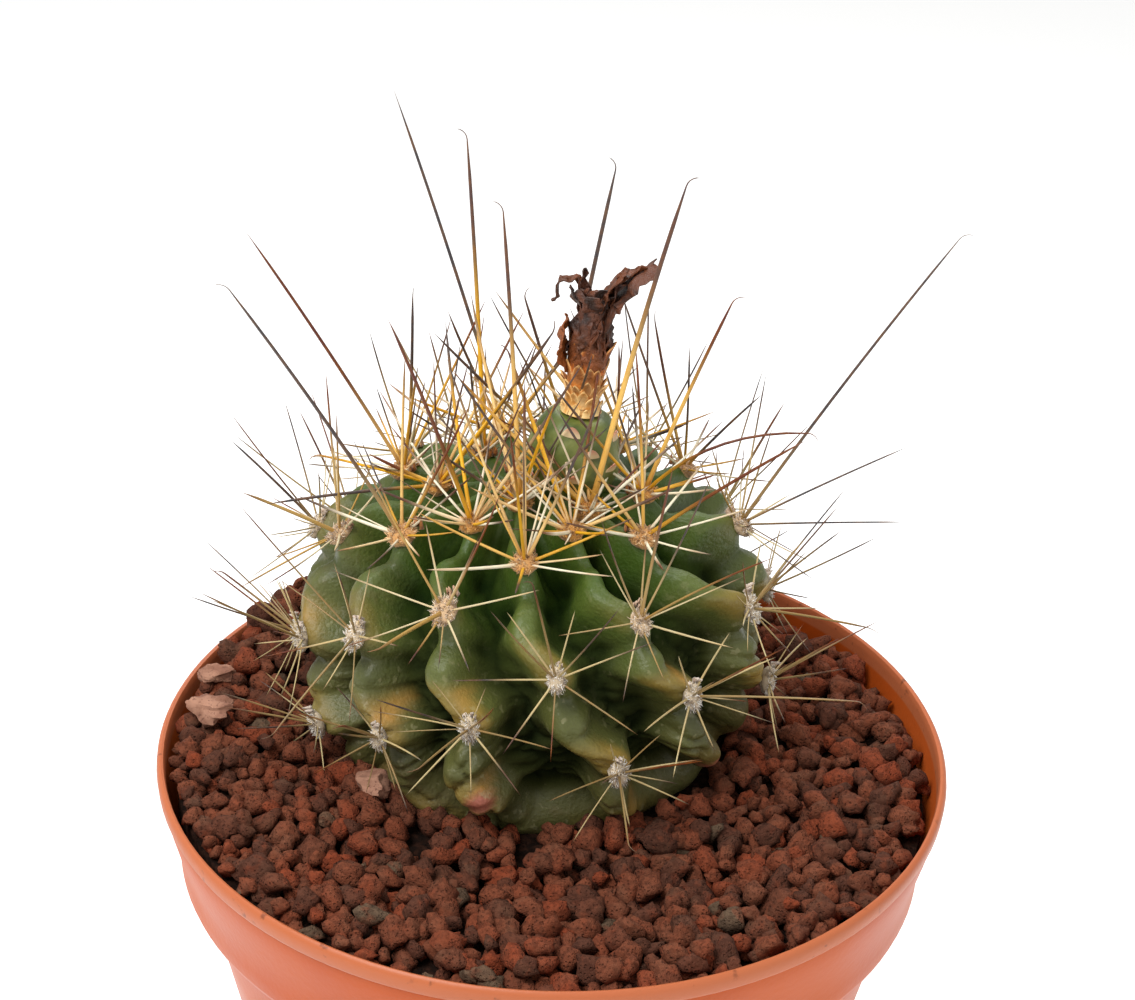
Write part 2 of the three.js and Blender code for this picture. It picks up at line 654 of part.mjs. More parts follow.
// The same solid moved by a matrix, as a geometry
function bakedInto(solid, matrix) {
  const { vertProperties, triVerts } = solid.getMesh();
  const geometry = new THREE.BufferGeometry();
  geometry.setAttribute('position', new THREE.BufferAttribute(vertProperties, 3));
  geometry.setIndex(new THREE.BufferAttribute(triVerts, 1));
  return geometry.applyMatrix4(matrix);
}

// A withered petal: a thin blade bent along a line and twisted
function witheredStrip(number, length) {
  const { tubeLength, stripWidth, thickness, strips, folds } = flower;
  const blade = new THREE.BoxGeometry(stripWidth, thickness, 1, 1, 1, folds);
  const corners = blade.getAttribute('position');
  const heading = number / strips * 2 * Math.PI;
  const reach = 1.5 + 4 * chance(number, 61);
  const tall = length * (0.72 + 0.3 * chance(number, 62)) - tubeLength;
  for (let i = 0; i < corners.count; i++) {
    const t = corners.getZ(i) + 0.5;
    const turn = heading + (chance(number, 63) - 0.5) * 1.8 * t;
    const out = 2 + 0.8 * Math.sin(t * Math.PI) + reach * t * t;
    const width = corners.getX(i) * (0.8 + 0.9 * t - 1.1 * t ** 3);
    const ripple = 0.9 * Math.sin(t * 7 + number * 2);
    const depth = corners.getY(i);
    corners.setXYZ(i,
      (out + depth + ripple * t) * Math.cos(turn) - width * Math.sin(turn),
      (out + depth + ripple * t) * Math.sin(turn) + width * Math.cos(turn),
      tubeLength - 2 + (tall + 2) * t);
  }
  return toSolid(blade);
}

function flowerSolid() {
  const { length, place } = standing(fruit.top, flower.top);
  const { tube, tubeLength, sides, core, bracts, bractSize, strips } = flower;
  const side = [[3.6, gap], [tube - 0.5, 1.6], [tube, 4], [tube + 0.4, 7], [tube - 0.6, tubeLength + 3]];
  const parts = [toSolid(turned([[0, gap], ...side, [1.2, length * core], [0, length * core]], sides))];
  for (let i = 0; i < bracts; i++) parts.push(scale(tube - 0.2, 2.4 + 6 * i / bracts, i * 2.4, bractSize));
  for (let i = 0; i < strips; i++) parts.push(witheredStrip(i, length));
  return toSolid(bakedInto(join(parts), place));
}

// What the spines keep clear of on the crown
function keepFruitClear() {
  const [base, top] = [new THREE.Vector3(...fruit.base), new THREE.Vector3(...fruit.top)];
  const tip = new THREE.Vector3(...flower.top);
  const berry = [base.clone().lerp(top, 0.5), base.clone().lerp(top, 0.65)];
  const tube = [base, top.clone().lerp(tip, 0.34)];
  const petals = [top.clone().lerp(tip, 0.5), top.clone().lerp(tip, 0.94)];
  placed.push({ owner: 'fruit', radius: fruit.radius + 0.2, stretch: berry });
  placed.push({ owner: 'fruit', radius: 5, stretch: tube });
  placed.push({ owner: 'flower', radius: 8.2, stretch: petals });
}

function build() {
  const model = new THREE.Group();
  model.add(named('pot', potSolid(), finish(0xd77d5a, 0.5)));
  model.add(named('soil', soilSolid(), finish(0x2a1f19, 0.95)));
  const gravel = gravelSolid();
  const stones = pebbles.map((pebble) => toSolid(pebbleGeometry(pebble, 0)));
  model.add(named('gravel', gravel, finish(0x7a4033, 0.9)));
  pebbles.forEach(({ name }, i) => model.add(named(name, stones[i], finish(0xb39a90, 0.85))));

  const cactus = new THREE.Group();
  cactus.position.set(plant.x, plant.y, pot.height);
  cactus.rotation.y = -plant.lean * degrees;
  cactus.add(named('stem', toSolid(stemSolid(0)), finish(0x4d6b40, 0.55)));
  const stemRoom = toSolid(stemSolid(gap));
  keepFruitClear();
  cactus.add(...bunches(stemRoom, join([gravel, ...stones])));
  cactus.add(named('fruit', fruitSolid(stemRoom), finish(0x6d8f4a, 0.5)));
  cactus.add(named('dried_flower', flowerSolid(), finish(0x6b4028, 0.9)));
  model.add(cactus);
  return model;
}

export default build();
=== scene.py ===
import bpy
import math
import random
import numpy as np
from mathutils import Matrix, Vector, noise


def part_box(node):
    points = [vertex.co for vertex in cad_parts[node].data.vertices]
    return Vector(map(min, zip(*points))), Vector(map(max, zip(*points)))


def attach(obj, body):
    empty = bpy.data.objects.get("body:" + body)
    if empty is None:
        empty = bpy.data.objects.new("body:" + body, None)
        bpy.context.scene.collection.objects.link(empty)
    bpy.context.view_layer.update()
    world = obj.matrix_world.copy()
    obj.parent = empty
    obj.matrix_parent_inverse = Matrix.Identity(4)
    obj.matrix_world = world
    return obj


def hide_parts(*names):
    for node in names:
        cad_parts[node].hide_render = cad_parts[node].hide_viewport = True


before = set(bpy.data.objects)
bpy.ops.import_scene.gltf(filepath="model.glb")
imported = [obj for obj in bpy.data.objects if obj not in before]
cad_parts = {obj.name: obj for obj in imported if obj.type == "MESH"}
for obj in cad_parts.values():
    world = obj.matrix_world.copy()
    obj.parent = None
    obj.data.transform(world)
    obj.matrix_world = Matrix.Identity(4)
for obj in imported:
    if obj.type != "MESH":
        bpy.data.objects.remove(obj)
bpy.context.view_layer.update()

# potted Texas barrel cactus: sizes are in millimetres, and turn into metres where a mesh is placed
mm = 0.001


# small helpers

def chance(i, j):
    # a repeatable number from 0 to 1 for a pair of numbers, or for arrays of them
    wave = np.sin(i * 12.9898 + j * 78.233) * 43758.5453
    return wave - np.floor(wave)


def smooth(start, end, value):
    t = np.clip((value - start) / (end - start), 0, 1)
    return t * t * (3 - 2 * t)


def paint(red, green, blue):
    # a colour as a paint chart gives it, 0 to 255, turned into Blender's linear values
    parts = [c / 255 for c in (red, green, blue)]
    linear = [c / 12.92 if c < 0.04045 else ((c + 0.055) / 1.055) ** 2.4 for c in parts]
    return (*linear, 1)


def activate(*objects):
    bpy.ops.object.select_all(action="DESELECT")
    for obj in objects:
        obj.select_set(True)
    bpy.context.view_layer.objects.active = objects[0]


def addPrimitive(operator, name, **settings):
    # everything is deselected first, so that the next operators act on the new piece alone
    bpy.ops.object.select_all(action="DESELECT")
    operator(**settings)
    piece = bpy.context.object
    piece.name = name
    return piece


def getPlaces(mesh):
    places = np.empty(len(mesh.vertices) * 3)
    mesh.vertices.foreach_get("co", places)
    return places.reshape(-1, 3)


def setPlaces(mesh, places):
    mesh.vertices.foreach_set("co", np.asarray(places, np.float32).ravel())
    mesh.update()


def setAttribute(mesh, name, values):
    layer = mesh.attributes.get(name) or mesh.attributes.new(name, "FLOAT", "POINT")
    spread = np.broadcast_to(np.float32(values), len(mesh.vertices))
    layer.data.foreach_set("value", spread.astype(np.float32))


def copyOf(master, name, places, **attributes):
    # one copy of a modelled piece, with its own mesh
    obj = bpy.data.objects.new(name, master.data.copy())
    bpy.context.scene.collection.objects.link(obj)
    setPlaces(obj.data, places)
    for key, values in attributes.items():
        setAttribute(obj.data, key, values)
    return obj


def joined(objects, name):
    activate(*objects)
    bpy.ops.object.join()
    piece = bpy.context.object
    piece.name = name
    piece.data.name = name
    return piece


def applyAll(obj):
    activate(obj)
    bpy.ops.object.transform_apply(location=True, rotation=True, scale=True)


def applyModifier(obj, name):
    activate(obj)
    bpy.ops.object.modifier_apply(modifier=name)


def putInFrame(piece, material, nodes, smoothAngle=None):
    # the last step for every piece: finish, smooth shading, the root body it hangs from, and the CAD nodes
    # that it stands for
    if material:
        piece.data.materials.clear()
        piece.data.materials.append(material)
    activate(piece)
    if smoothAngle is None:
        bpy.ops.object.shade_smooth()
    else:
        bpy.ops.object.shade_smooth_by_angle(angle=math.radians(smoothAngle))
    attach(piece, "root")
    if nodes:
        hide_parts(*nodes)


# camera, light and floor

view = {
    "place": (1.113, -328.093, 331.748), "turn": (62.012, -1.768, 0.940), "lens": 69.78, "sensor": 36,
    "floorSize": 40.0, "floor": (244, 244, 243), "floorGlow": 0.5,
    "world": (255, 255, 255), "worldStrength": 0.5, "lampsAim": (0, 0, 120),
}
# a lamp's size is in metres
lamps = {
    "key": {"place": (-240, -200, 620), "size": 0.3, "power": 3.2},
    "fill": {"place": (420, -380, 360), "size": 0.6, "power": 0.5},
    "back": {"place": (80, 380, 560), "size": 0.4, "power": 1.6},
}


def setStage():
    bpy.ops.object.camera_add(location=[c * mm for c in view["place"]],
                              rotation=[math.radians(a) for a in view["turn"]])
    camera = bpy.context.object
    camera.data.lens = view["lens"]
    camera.data.sensor_width = view["sensor"]
    camera.data.clip_start = 0.01
    bpy.context.scene.camera = camera
    bpy.context.scene.view_settings.view_transform = "Standard"
    world = bpy.data.worlds.new("studio")
    world.use_nodes = True
    background = world.node_tree.nodes["Background"]
    background.inputs["Color"].default_value = paint(*view["world"])
    background.inputs["Strength"].default_value = view["worldStrength"]
    bpy.context.scene.world = world
    for name, lamp in lamps.items():
        bpy.ops.object.light_add(type="AREA", location=[c * mm for c in lamp["place"]])
        light = bpy.context.object
        light.name = name
        light.data.energy = lamp["power"]
        light.data.size = lamp["size"]
        aim = Vector(view["lampsAim"]) * mm - light.location
        light.rotation_euler = aim.to_track_quat("-Z", "Y").to_euler()
    floor = addPrimitive(bpy.ops.mesh.primitive_plane_add, "floor", size=view["floorSize"])
    floor.data.materials.append(floorPaint())


# nodes for the materials

def addNode(tree, kind, **settings):
    node = tree.nodes.new(kind)
    for key, value in settings.items():
        setattr(node, key, value)
    return node


def feed(tree, socket, value):
    # a socket takes another node's output or a plain value
    if isinstance(value, bpy.types.NodeSocket):
        tree.links.new(value, socket)
    else:
        socket.default_value = value


def newMaterial(name, roughness=0.5):
    material = bpy.data.materials.new(name)
    material.use_nodes = True
    shader = material.node_tree.nodes["Principled BSDF"]
    shader.inputs["Roughness"].default_value = roughness
    return material, material.node_tree, shader


def objectPlace(tree):
    return addNode(tree, "ShaderNodeTexCoord").outputs["Object"]


def attributeValue(tree, name):
    return addNode(tree, "ShaderNodeAttribute", attribute_name=name).outputs["Fac"]


def maths(tree, operation, first, second=0.5, clamp=True):
    node = addNode(tree, "ShaderNodeMath", operation=operation, use_clamp=clamp)
    for socket, value in zip(node.inputs, (first, second)):
        feed(tree, socket, value)
    return node.outputs[0]


def mixColours(tree, factor, first, second, strength=None):
    # a colour is another node's output or three numbers from 0 to 255, and a strength weakens the second
    if strength is not None:
        factor = maths(tree, "MULTIPLY", factor, strength)
    node = addNode(tree, "ShaderNodeMix", data_type="RGBA")
    feed(tree, node.inputs[0], factor)
    for socket, colour in ((node.inputs[6], first), (node.inputs[7], second)):
        feed(tree, socket, paint(*colour) if isinstance(colour, tuple) else colour)
    return node.outputs[2]


def span(tree, value, low, high, toLow=0.0, toHigh=1.0):
    node = addNode(tree, "ShaderNodeMapRange", interpolation_type="SMOOTHSTEP")
    for socket, item in zip(node.inputs, (value, low, high, toLow, toHigh)):
        feed(tree, socket, item)
    return node.outputs[0]


def newGroup(name, inputs, outputs):
    group = bpy.data.node_groups.new(name, "ShaderNodeTree")
    for key, (kind, value) in inputs.items():
        socket = group.interface.new_socket(key, in_out="INPUT", socket_type=kind)
        if value is not None:
            socket.default_value = value
    for key in outputs:
        group.interface.new_socket(key, in_out="OUTPUT", socket_type="NodeSocketFloat")
    start = addNode(group, "NodeGroupInput")
    end = addNode(group, "NodeGroupOutput")
    return group, start.outputs, end.inputs


def useGroup(tree, group, **values):
    node = addNode(tree, "ShaderNodeGroup", node_tree=group)
    for key, value in values.items():
        feed(tree, node.inputs[key], value)
    return node.outputs


def mask(tree, group, place, scale, low, high):
    return useGroup(tree, group, Place=place, Scale=scale, Low=low, High=high)["Mask"]


def addBump(tree, shader, height, strength, distance):
    bump = addNode(tree, "ShaderNodeBump")
    feed(tree, bump.inputs["Height"], height)
    bump.inputs["Strength"].default_value = strength
    bump.inputs["Distance"].default_value = distance
    tree.links.new(bump.outputs["Normal"], shader.inputs["Normal"])


def buildMottle():
    # soft cloudy patches, as a mask from 0 to 1
    group, inputs, outputs = newGroup("mottle", {
        "Place": ("NodeSocketVector", None), "Scale": ("NodeSocketFloat", 100.0),
        "Low": ("NodeSocketFloat", 0.4), "High": ("NodeSocketFloat", 0.6)}, ["Mask"])
    cloud = addNode(group, "ShaderNodeTexNoise")
    cloud.inputs["Detail"].default_value = 4
    feed(group, cloud.inputs["Vector"], inputs["Place"])
    feed(group, cloud.inputs["Scale"], inputs["Scale"])
    group.links.new(span(group, cloud.outputs["Fac"], inputs["Low"], inputs["High"]), outputs["Mask"])
    return group


def buildPores():
    # open pores and grains of burnt stone: a height for bump, and a mask of the pits
    group, inputs, outputs = newGroup("pores", {
        "Place": ("NodeSocketVector", None), "Scale": ("NodeSocketFloat", 1500.0)}, ["Height", "Pits"])
    cells = addNode(group, "ShaderNodeTexVoronoi", feature="F1")
    feed(group, cells.inputs["Vector"], inputs["Place"])
    feed(group, cells.inputs["Scale"], inputs["Scale"])
    grains = addNode(group, "ShaderNodeTexNoise")
    grains.inputs["Detail"].default_value = 6
    grains.inputs["Roughness"].default_value = 0.7
    feed(group, grains.inputs["Vector"], inputs["Place"])
    feed(group, grains.inputs["Scale"], maths(group, "MULTIPLY", inputs["Scale"], 0.4, clamp=False))
    pits = span(group, cells.outputs["Distance"], 0.12, 0.4, 1.0, 0.0)
    height = maths(group, "SUBTRACT", grains.outputs["Fac"], maths(group, "MULTIPLY", pits, 0.35))
    group.links.new(height, outputs["Height"])
    group.links.new(pits, outputs["Pits"])
    return group


def floorPaint():
    material, _, shader = newMaterial("floorPaint", 0.6)
    # the sheet glows faintly, as a lit light table does
    for socket in ("Base Color", "Emission Color"):
        shader.inputs[socket].default_value = paint(*view["floor"])
    shader.inputs["Emission Strength"].default_value = view["floorGlow"]
    return material


# the pot

pot = {
    # the profile, as radius and height, up the outside and down the inside
    "sides": 128,
    "foot": [(43.8, 0.0), (44.8, 0.5), (45.5, 1.6)],
    "side": [(48.1, 14.0), (51.0, 28.0), (53.8, 42.0), (56.7, 56.0), (59.6, 70.0), (61.7, 80.0), (63.0, 86.5),
             (63.5, 88.2)],
    "collar": [(64.4, 88.7), (65.8, 88.9), (66.4, 89.3), (66.7, 90.2), (66.8, 92.5), (67.0, 95.0),
               (67.6, 98.0), (68.3, 101.0), (68.9, 103.5), (69.2, 105.4), (69.2, 106.3)],
    "bead": [(69.6, 106.7), (69.9, 107.3), (70.0, 108.6), (69.9, 109.3), (69.6, 109.8), (69.2, 110.0),
             (68.8, 109.8), (68.6, 109.3), (68.5, 108.4)],
    "inside": [(68.4, 105.5), (67.4, 101.0), (66.2, 96.0), (65.3, 92.2), (64.4, 91.0), (62.6, 90.5),
               (61.9, 89.6), (55.1, 57.0), (47.5, 20.0), (43.8, 2.2)],
    "drains": 6, "drainRing": 34.0, "drainRadius": 3.5, "drainCut": 8.8, "lipFrom": 106.3, "lipTo": 106.9,
    "clay": (181, 76, 21), "pale": (202, 99, 41), "rubbed": (188, 112, 76), "dirt": (112, 62, 42),
    # patterns: a scale, and where the mask begins and is full
    "clouds": (24, 0.3, 0.75), "specks": (420, 0.62, 0.74), "grain": (900, 0.2, 0.8),
}


def potPlastic(mottle):
    material, tree, shader = newMaterial("potPlastic", 0.42)
    place = objectPlace(tree)
    height = addNode(tree, "ShaderNodeSeparateXYZ")
    feed(tree, height.inputs[0], place)
    clouds = mask(tree, mottle, place, *pot["clouds"])
    specks = mask(tree, mottle, place, *pot["specks"])
    colour = mixColours(tree, clouds, pot["clay"], pot["pale"])
    colour = mixColours(tree, clouds, colour, pot["clay"], 0.5)
    # the lip is rubbed pale, and crumbs of grit have left their dust on it
    lip = span(tree, height.outputs["Z"], pot["lipFrom"] * mm, pot["lipTo"] * mm)
    colour = mixColours(tree, lip, colour, pot["rubbed"], 0.7)
    dusty = maths(tree, "MULTIPLY", maths(tree, "MULTIPLY", specks, lip), 0.7)
    colour = mixColours(tree, dusty, colour, pot["dirt"])
    tree.links.new(colour, shader.inputs["Base Color"])
    tree.links.new(span(tree, clouds, 0.0, 1.0, 0.36, 0.5), shader.inputs["Roughness"])
    shader.inputs["Specular IOR Level"].default_value = 0.25
    fine = mask(tree, mottle, place, *pot["grain"])
    addBump(tree, shader, fine, 0.12, 0.0002)
    return material


def makePot(mottle):
    outline = [*pot["foot"], *pot["side"], *pot["collar"], *pot["bead"], *pot["inside"]]
    radius, height = outline[0]
    wall = addPrimitive(bpy.ops.mesh.primitive_circle_add, "potWall", vertices=pot["sides"],
                        radius=radius * mm, fill_type="NGON")
    bpy.ops.object.mode_set(mode="EDIT")
    bpy.ops.mesh.select_all(action="SELECT")
    for nextRadius, nextHeight in outline[1:]:
        bpy.ops.mesh.extrude_region_move(TRANSFORM_OT_translate={"value": (0, 0, (nextHeight - height) * mm)})
        grow = nextRadius / radius
        bpy.ops.transform.resize(value=(grow, grow, 1), center_override=(0, 0, nextHeight * mm))
        radius, height = nextRadius, nextHeight
    bpy.ops.mesh.select_all(action="SELECT")
    bpy.ops.mesh.normals_make_consistent(inside=False)
    bpy.ops.object.mode_set(mode="OBJECT")
    drains = []
    for i in range(pot["drains"]):
        angle = (i + 0.5) / pot["drains"] * 2 * math.pi
        ring = pot["drainRing"] * mm
        drains.append(addPrimitive(
            bpy.ops.mesh.primitive_cylinder_add, "drain", vertices=24, radius=pot["drainRadius"] * mm,
            depth=pot["drainCut"] * mm, location=(ring * math.cos(angle), ring * math.sin(angle), 0)))
    cutter = joined(drains, "drainCutter")
    applyAll(cutter)
    cut = wall.modifiers.new("drains", "BOOLEAN")
    cut.object = cutter
    cut.operation = "DIFFERENCE"
    cut.solver = "EXACT"
    applyModifier(wall, "drains")
    bpy.data.objects.remove(cutter)
    putInFrame(wall, potPlastic(mottle), ["pot"], 38)
    print("pot done")


# the grit bed: dark compost under lava granules that are dropped one by one onto the lowest spots

bed = {
    "level": 105.4, "tilt": -0.032, "bowl": 3.0, "bowlFrom": 36.0, "bowlTo": 62.0, "waves": 1.2,
    "heap": (-54.0, 40.0), "heapTall": 6.0, "heapReach": 26.0, "bottom": 97.6, "rim": 66.5, "overhang": 1.4,
    # no granule comes nearer to the stem than "clear" or into the gaps, and the map reaches "half" each way
    "clear": 35.5, "gaps": [(-22.0, -24.5, 4.0), (-3.0, -25.5, 4.5)], "half": 70, "under": 3.4,
    "compostUnder": 3.6, "compostThick": 4.0, "compostRings": 26, "ringWidth": 2.4,
    "dark": (26, 16, 11), "brown": (52, 31, 22),
    "crumbs": (700, 0.4, 0.7),
}
granules = {
    "kinds": 9, "cuts": 9, "segments": 9, "rings": 6,
    "count": 1500, "smallest": 3.2, "largest": 6.4, "seed": 11, "choices": 10, "sink": 0.36,
    # shares of its size that a granule takes as half widths, and how far it tips over
    "shape": [(0.42, 0.6), (0.38, 0.52), (0.34, 0.46)], "tip": 0.5,
    "brown": (126, 71, 49), "red": (140, 66, 40), "dark": (92, 56, 42), "grey": (104, 84, 66),
    "poreShade": (40, 20, 14),
    "dust": (260, 0.45, 0.8), "rust": (520, 0.5, 0.7), "shade": (950, 0.36, 0.58),
}


def bedLevel(x, y):
    # higher on the left and towards the wall, and heaped at the back left
    heapX, heapY = bed["heap"]
    heap = bed["heapTall"] * (1 - smooth(0, bed["heapReach"], np.hypot(x - heapX, y - heapY)))
    bowl = bed["bowl"] * smooth(bed["bowlFrom"], bed["bowlTo"], np.hypot(x, y))
    return bed["level"] + bed["tilt"] * x + bowl + heap


def rockMaster(number, cuts, segments, rings):
    # a rough granule: a ball of few faces cut flat by planes, then roughened
    rock = addPrimitive(bpy.ops.mesh.primitive_uv_sphere_add, f"rockMaster{number}", segments=segments,
                        ring_count=rings, radius=1)
    places = getPlaces(rock.data)
    for cut in range(cuts):
        face = Vector([chance(number, cut + key) - 0.5 for key in (0, 20, 40)])
        face = np.array(face.normalized())
        over = places @ face - (0.5 + 0.32 * chance(number, cut + 60))
        places = places - np.outer(np.maximum(over, 0), face)
    for i, place in enumerate(places):
        places[i] *= 1 + 0.34 * noise.noise(Vector(place) * 2.3 + Vector((number * 7.0, 0, 0)))
    places /= np.abs(places).max(axis=0)
    setPlaces(rock.data, places)
    return rock


def lavaStone(mottle, pores):
    material, tree, shader = newMaterial("lavaStone", 0.9)
    place = objectPlace(tree)
    tone = attributeValue(tree, "tone")
    colour = mixColours(tree, span(tree, tone, 0.1, 0.55), granules["dark"], granules["brown"])
    colour = mixColours(tree, span(tree, tone, 0.62, 1.0), colour, granules["red"])
    colour = mixColours(tree, span(tree, tone, 0.975, 0.985), colour, granules["grey"])
    dust = mask(tree, mottle, place, *granules["dust"])
    colour = mixColours(tree, dust, colour, granules["grey"], 0.45)
    rust = mask(tree, mottle, place, *granules["rust"])
    colour = mixColours(tree, rust, colour, granules["red"], 0.4)
    holes = useGroup(tree, pores, Place=place, Scale=1500.0)
    shade = mask(tree, mottle, place, *granules["shade"])
    # painted shade: the pores and the patches of the shade mask are darkened towards a shadow colour
    shadedPores = maths(tree, "MULTIPLY", holes["Pits"], maths(tree, "MULTIPLY", rust, 0.6))
    colour = mixColours(tree, shadedPores, colour, granules["poreShade"])
    colour = mixColours(tree, span(tree, shade, 0.0, 1.0, 0.34, 0.0), colour, granules["poreShade"])
    tree.links.new(colour, shader.inputs["Base Color"])
    shader.inputs["Specular IOR Level"].default_value = 0.15
    addBump(tree, shader, holes["Height"], 1.0, 0.0009)
    return material


def darkCompost(mottle, pores):
    material, tree, shader = newMaterial("darkCompost", 0.95)
    place = objectPlace(tree)
    crumbs = mask(tree, mottle, place, *bed["crumbs"])
    colour = mixColours(tree, crumbs, bed["dark"], bed["brown"])
    tree.links.new(colour, shader.inputs["Base Color"])
    shader.inputs["Specular IOR Level"].default_value = 0.1
    addBump(tree, shader, useGroup(tree, pores, Place=place, Scale=900.0)["Height"], 0.9, 0.001)
    return material


def dropGranules(masters):
    # each granule tries a few random spots, and falls into the lowest of them
    draw = random.Random(granules["seed"])
    half = bed["half"]
    grid = np.arange(-half, half + 1)
    gridX, gridY = np.meshgrid(grid, grid, indexing="ij")
    target = bedLevel(gridX, gridY) + bed["waves"] * np.array(
        [[noise.noise(Vector((x * 0.055, y * 0.055, 3.0))) for y in grid] for x in grid])
    ground = target - bed["under"]
    stemX, stemY = plant["place"][:2]
    copies = []
    while len(copies) < granules["count"]:
        size = granules["smallest"] + (granules["largest"] - granules["smallest"]) * draw.random() ** 1.7
        best = None
        for _ in range(granules["choices"]):
            x, y = draw.uniform(-half, half), draw.uniform(-half, half)
            if math.hypot(x, y) > bed["rim"] + bed["overhang"] - size * 0.45:
                continue
            if math.hypot(x - stemX, y - stemY) < bed["clear"] + size * 0.2:
                continue
            if any(math.hypot(x - gapX, y - gapY) < gap for gapX, gapY, gap in bed["gaps"]):
                continue
            i, j = round(x) + half, round(y) + half
            low = ground[i, j] - target[i, j]
            if best is None or low < best[0]:
                best = (low, x, y, i, j)
        if best is None:
            continue
        low, x, y, i, j = best
        scale = size * np.array([draw.uniform(*share) for share in granules["shape"]])
        reach = 3
        window = (slice(max(i - reach, 0), i + reach + 1), slice(max(j - reach, 0), j + reach + 1))
        apart = np.hypot(gridX[window] - x, gridY[window] - y) / scale[:2].mean()
        under = apart < 1
        z = ground[window][under].mean() + scale[2] * granules["sink"] if under.any() else ground[i, j]
        dome = z + scale[2] * np.sqrt(np.clip(1 - apart ** 2, 0, 1)) * 0.9
        ground[window] = np.where(under, np.maximum(ground[window], dome), ground[window])
        turn = Matrix.Rotation(draw.uniform(0, 6.28), 3, "Z")
        turn = turn @ Matrix.Rotation(draw.uniform(-granules["tip"], granules["tip"]), 3, "X")
        master = masters[draw.randrange(len(masters))]
        places = (getPlaces(master.data) * scale) @ np.array(turn).T + (x, y, z)
        copies.append(copyOf(master, "granule", places * mm, tone=draw.random()))
    return copies


def makeBed(mottle, pores):
    masters = [rockMaster(number, granules["cuts"], granules["segments"], granules["rings"])
               for number in range(granules["kinds"])]
    stone = lavaStone(mottle, pores)
    grains = dropGranules(masters)
    half = len(grains) // 2
    putInFrame(joined(grains[:half], "granulesLower"), stone, [])
    putInFrame(joined(grains[half:], "granulesUpper"), stone, ["gravel"])
    # the compost under them: a disc with a sloping crumbly top
    floor = addPrimitive(bpy.ops.mesh.primitive_circle_add, "compostTop", vertices=96,
                         radius=bed["rim"] * mm, fill_type="NGON", location=(0, 0, bed["bottom"] * mm))
    bpy.ops.object.mode_set(mode="EDIT")
    bpy.ops.mesh.select_all(action="SELECT")
    bpy.ops.mesh.extrude_region_move(TRANSFORM_OT_translate={"value": (0, 0, bed["compostThick"] * mm)})
    for _ in range(bed["compostRings"]):
        bpy.ops.mesh.inset(thickness=bed["ringWidth"] * mm, depth=0)
    bpy.ops.object.mode_set(mode="OBJECT")
    applyAll(floor)
    places = getPlaces(floor.data)
    top = places[:, 2] > (bed["bottom"] + bed["compostThick"] / 2) * mm
    for i in np.flatnonzero(top):
        x, y, z = places[i] / mm
        rough = noise.noise(Vector((x * 0.5, y * 0.5, 0))) + 0.6 * noise.noise(Vector((x * 1.3, y * 1.3, 5)))
        places[i][2] = (bedLevel(x, y) - bed["compostUnder"] + 0.7 * rough) * mm
    setPlaces(floor.data, places)
    putInFrame(floor, darkCompost(mottle, pores), [])
    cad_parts["soil"].data.materials.clear()
    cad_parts["soil"].data.materials.append(floor.data.materials[0])
    for number in (1, 2, 3):
        makePebble(number, mottle, pores)
    for master in masters:
        bpy.data.objects.remove(master)
    print("grit bed done")


pebble = {
    "seed": 30, "cuts": 7, "segments": 28, "rings": 16,
    "pale": (172, 126, 102), "dull": (134, 90, 70), "grain": (104, 66, 52),
    "clouds": (300, 0.35, 0.65), "specks": (1800, 0.58, 0.66),
}


def pebbleStone(mottle, pores):
    material, tree, shader = newMaterial("pebbleStone", 0.85)
    place = objectPlace(tree)
    clouds = mask(tree, mottle, place, *pebble["clouds"])
    specks = mask(tree, mottle, place, *pebble["specks"])
    colour = mixColours(tree, clouds, pebble["pale"], pebble["dull"])
    colour = mixColours(tree, specks, colour, pebble["grain"], 0.7)
    tree.links.new(colour, shader.inputs["Base Color"])
    addBump(tree, shader, useGroup(tree, pores, Place=place, Scale=1900.0)["Height"], 0.5, 0.0004)
    return material


def makePebble(number, mottle, pores):
    node = f"pebble_{number}"
    low, high = (np.array(corner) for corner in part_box(node))
    rock = rockMaster(pebble["seed"] + number, pebble["cuts"], pebble["segments"], pebble["rings"])
    setPlaces(rock.data, getPlaces(rock.data) * (high - low) / 2 + (high + low) / 2)
    rock.name = f"palePebble{number}"
    putInFrame(rock, pebbleStone(mottle, pores), [node], 34)


# the plant: outline, ribs and areoles follow the same rules as the solid stem, in the plant's own frame

plant = {
    # where it stands, how it leans in degrees, and the outline of its body and root
    "place": (-3.5, 15.0, 110.0), "lean": 3.0, "radius": 43.0, "shoulder": 10.0, "dome": 33.0,
    "roundness": 2 / 3, "taper": 0.14, "taperSpan": 15.0, "neck": -8.0,
    "root": [(29, -12.4), (16, -20), (7, -34), (0, -46)],
}
ribs = {
    "count": 13, "first": 7.5, "twist": 0.52, "twistFrom": 40.0,  # degrees, and a twist for each millimetre
    "start": 8.8, "pitch": 18.8, "step": 7 / 13,  # the areoles down a rib, and the step from rib to rib
    "groove": 9.4, "dip": 1.6, "sway": 3.5, "wander": -4.6, "crest": 5.3, "swell": 1.1, "skew": 0.26,
    "lead": 1.2, "last": 70.9, "fruitAreole": "4_0",
}
# areoles that stand off the rule's place: degrees round the plant, and millimetres down the rib
nudged = {"0_1": (0, -2), "0_2": (-3.5, 0), "1_1": (-4.5, 2), "1_2": (-3, -1.5), "2_1": (-6, -3),
          "10_3": (0, -4.5), "11_2": (1.5, -2.5), "12_3": (-8, 0)}


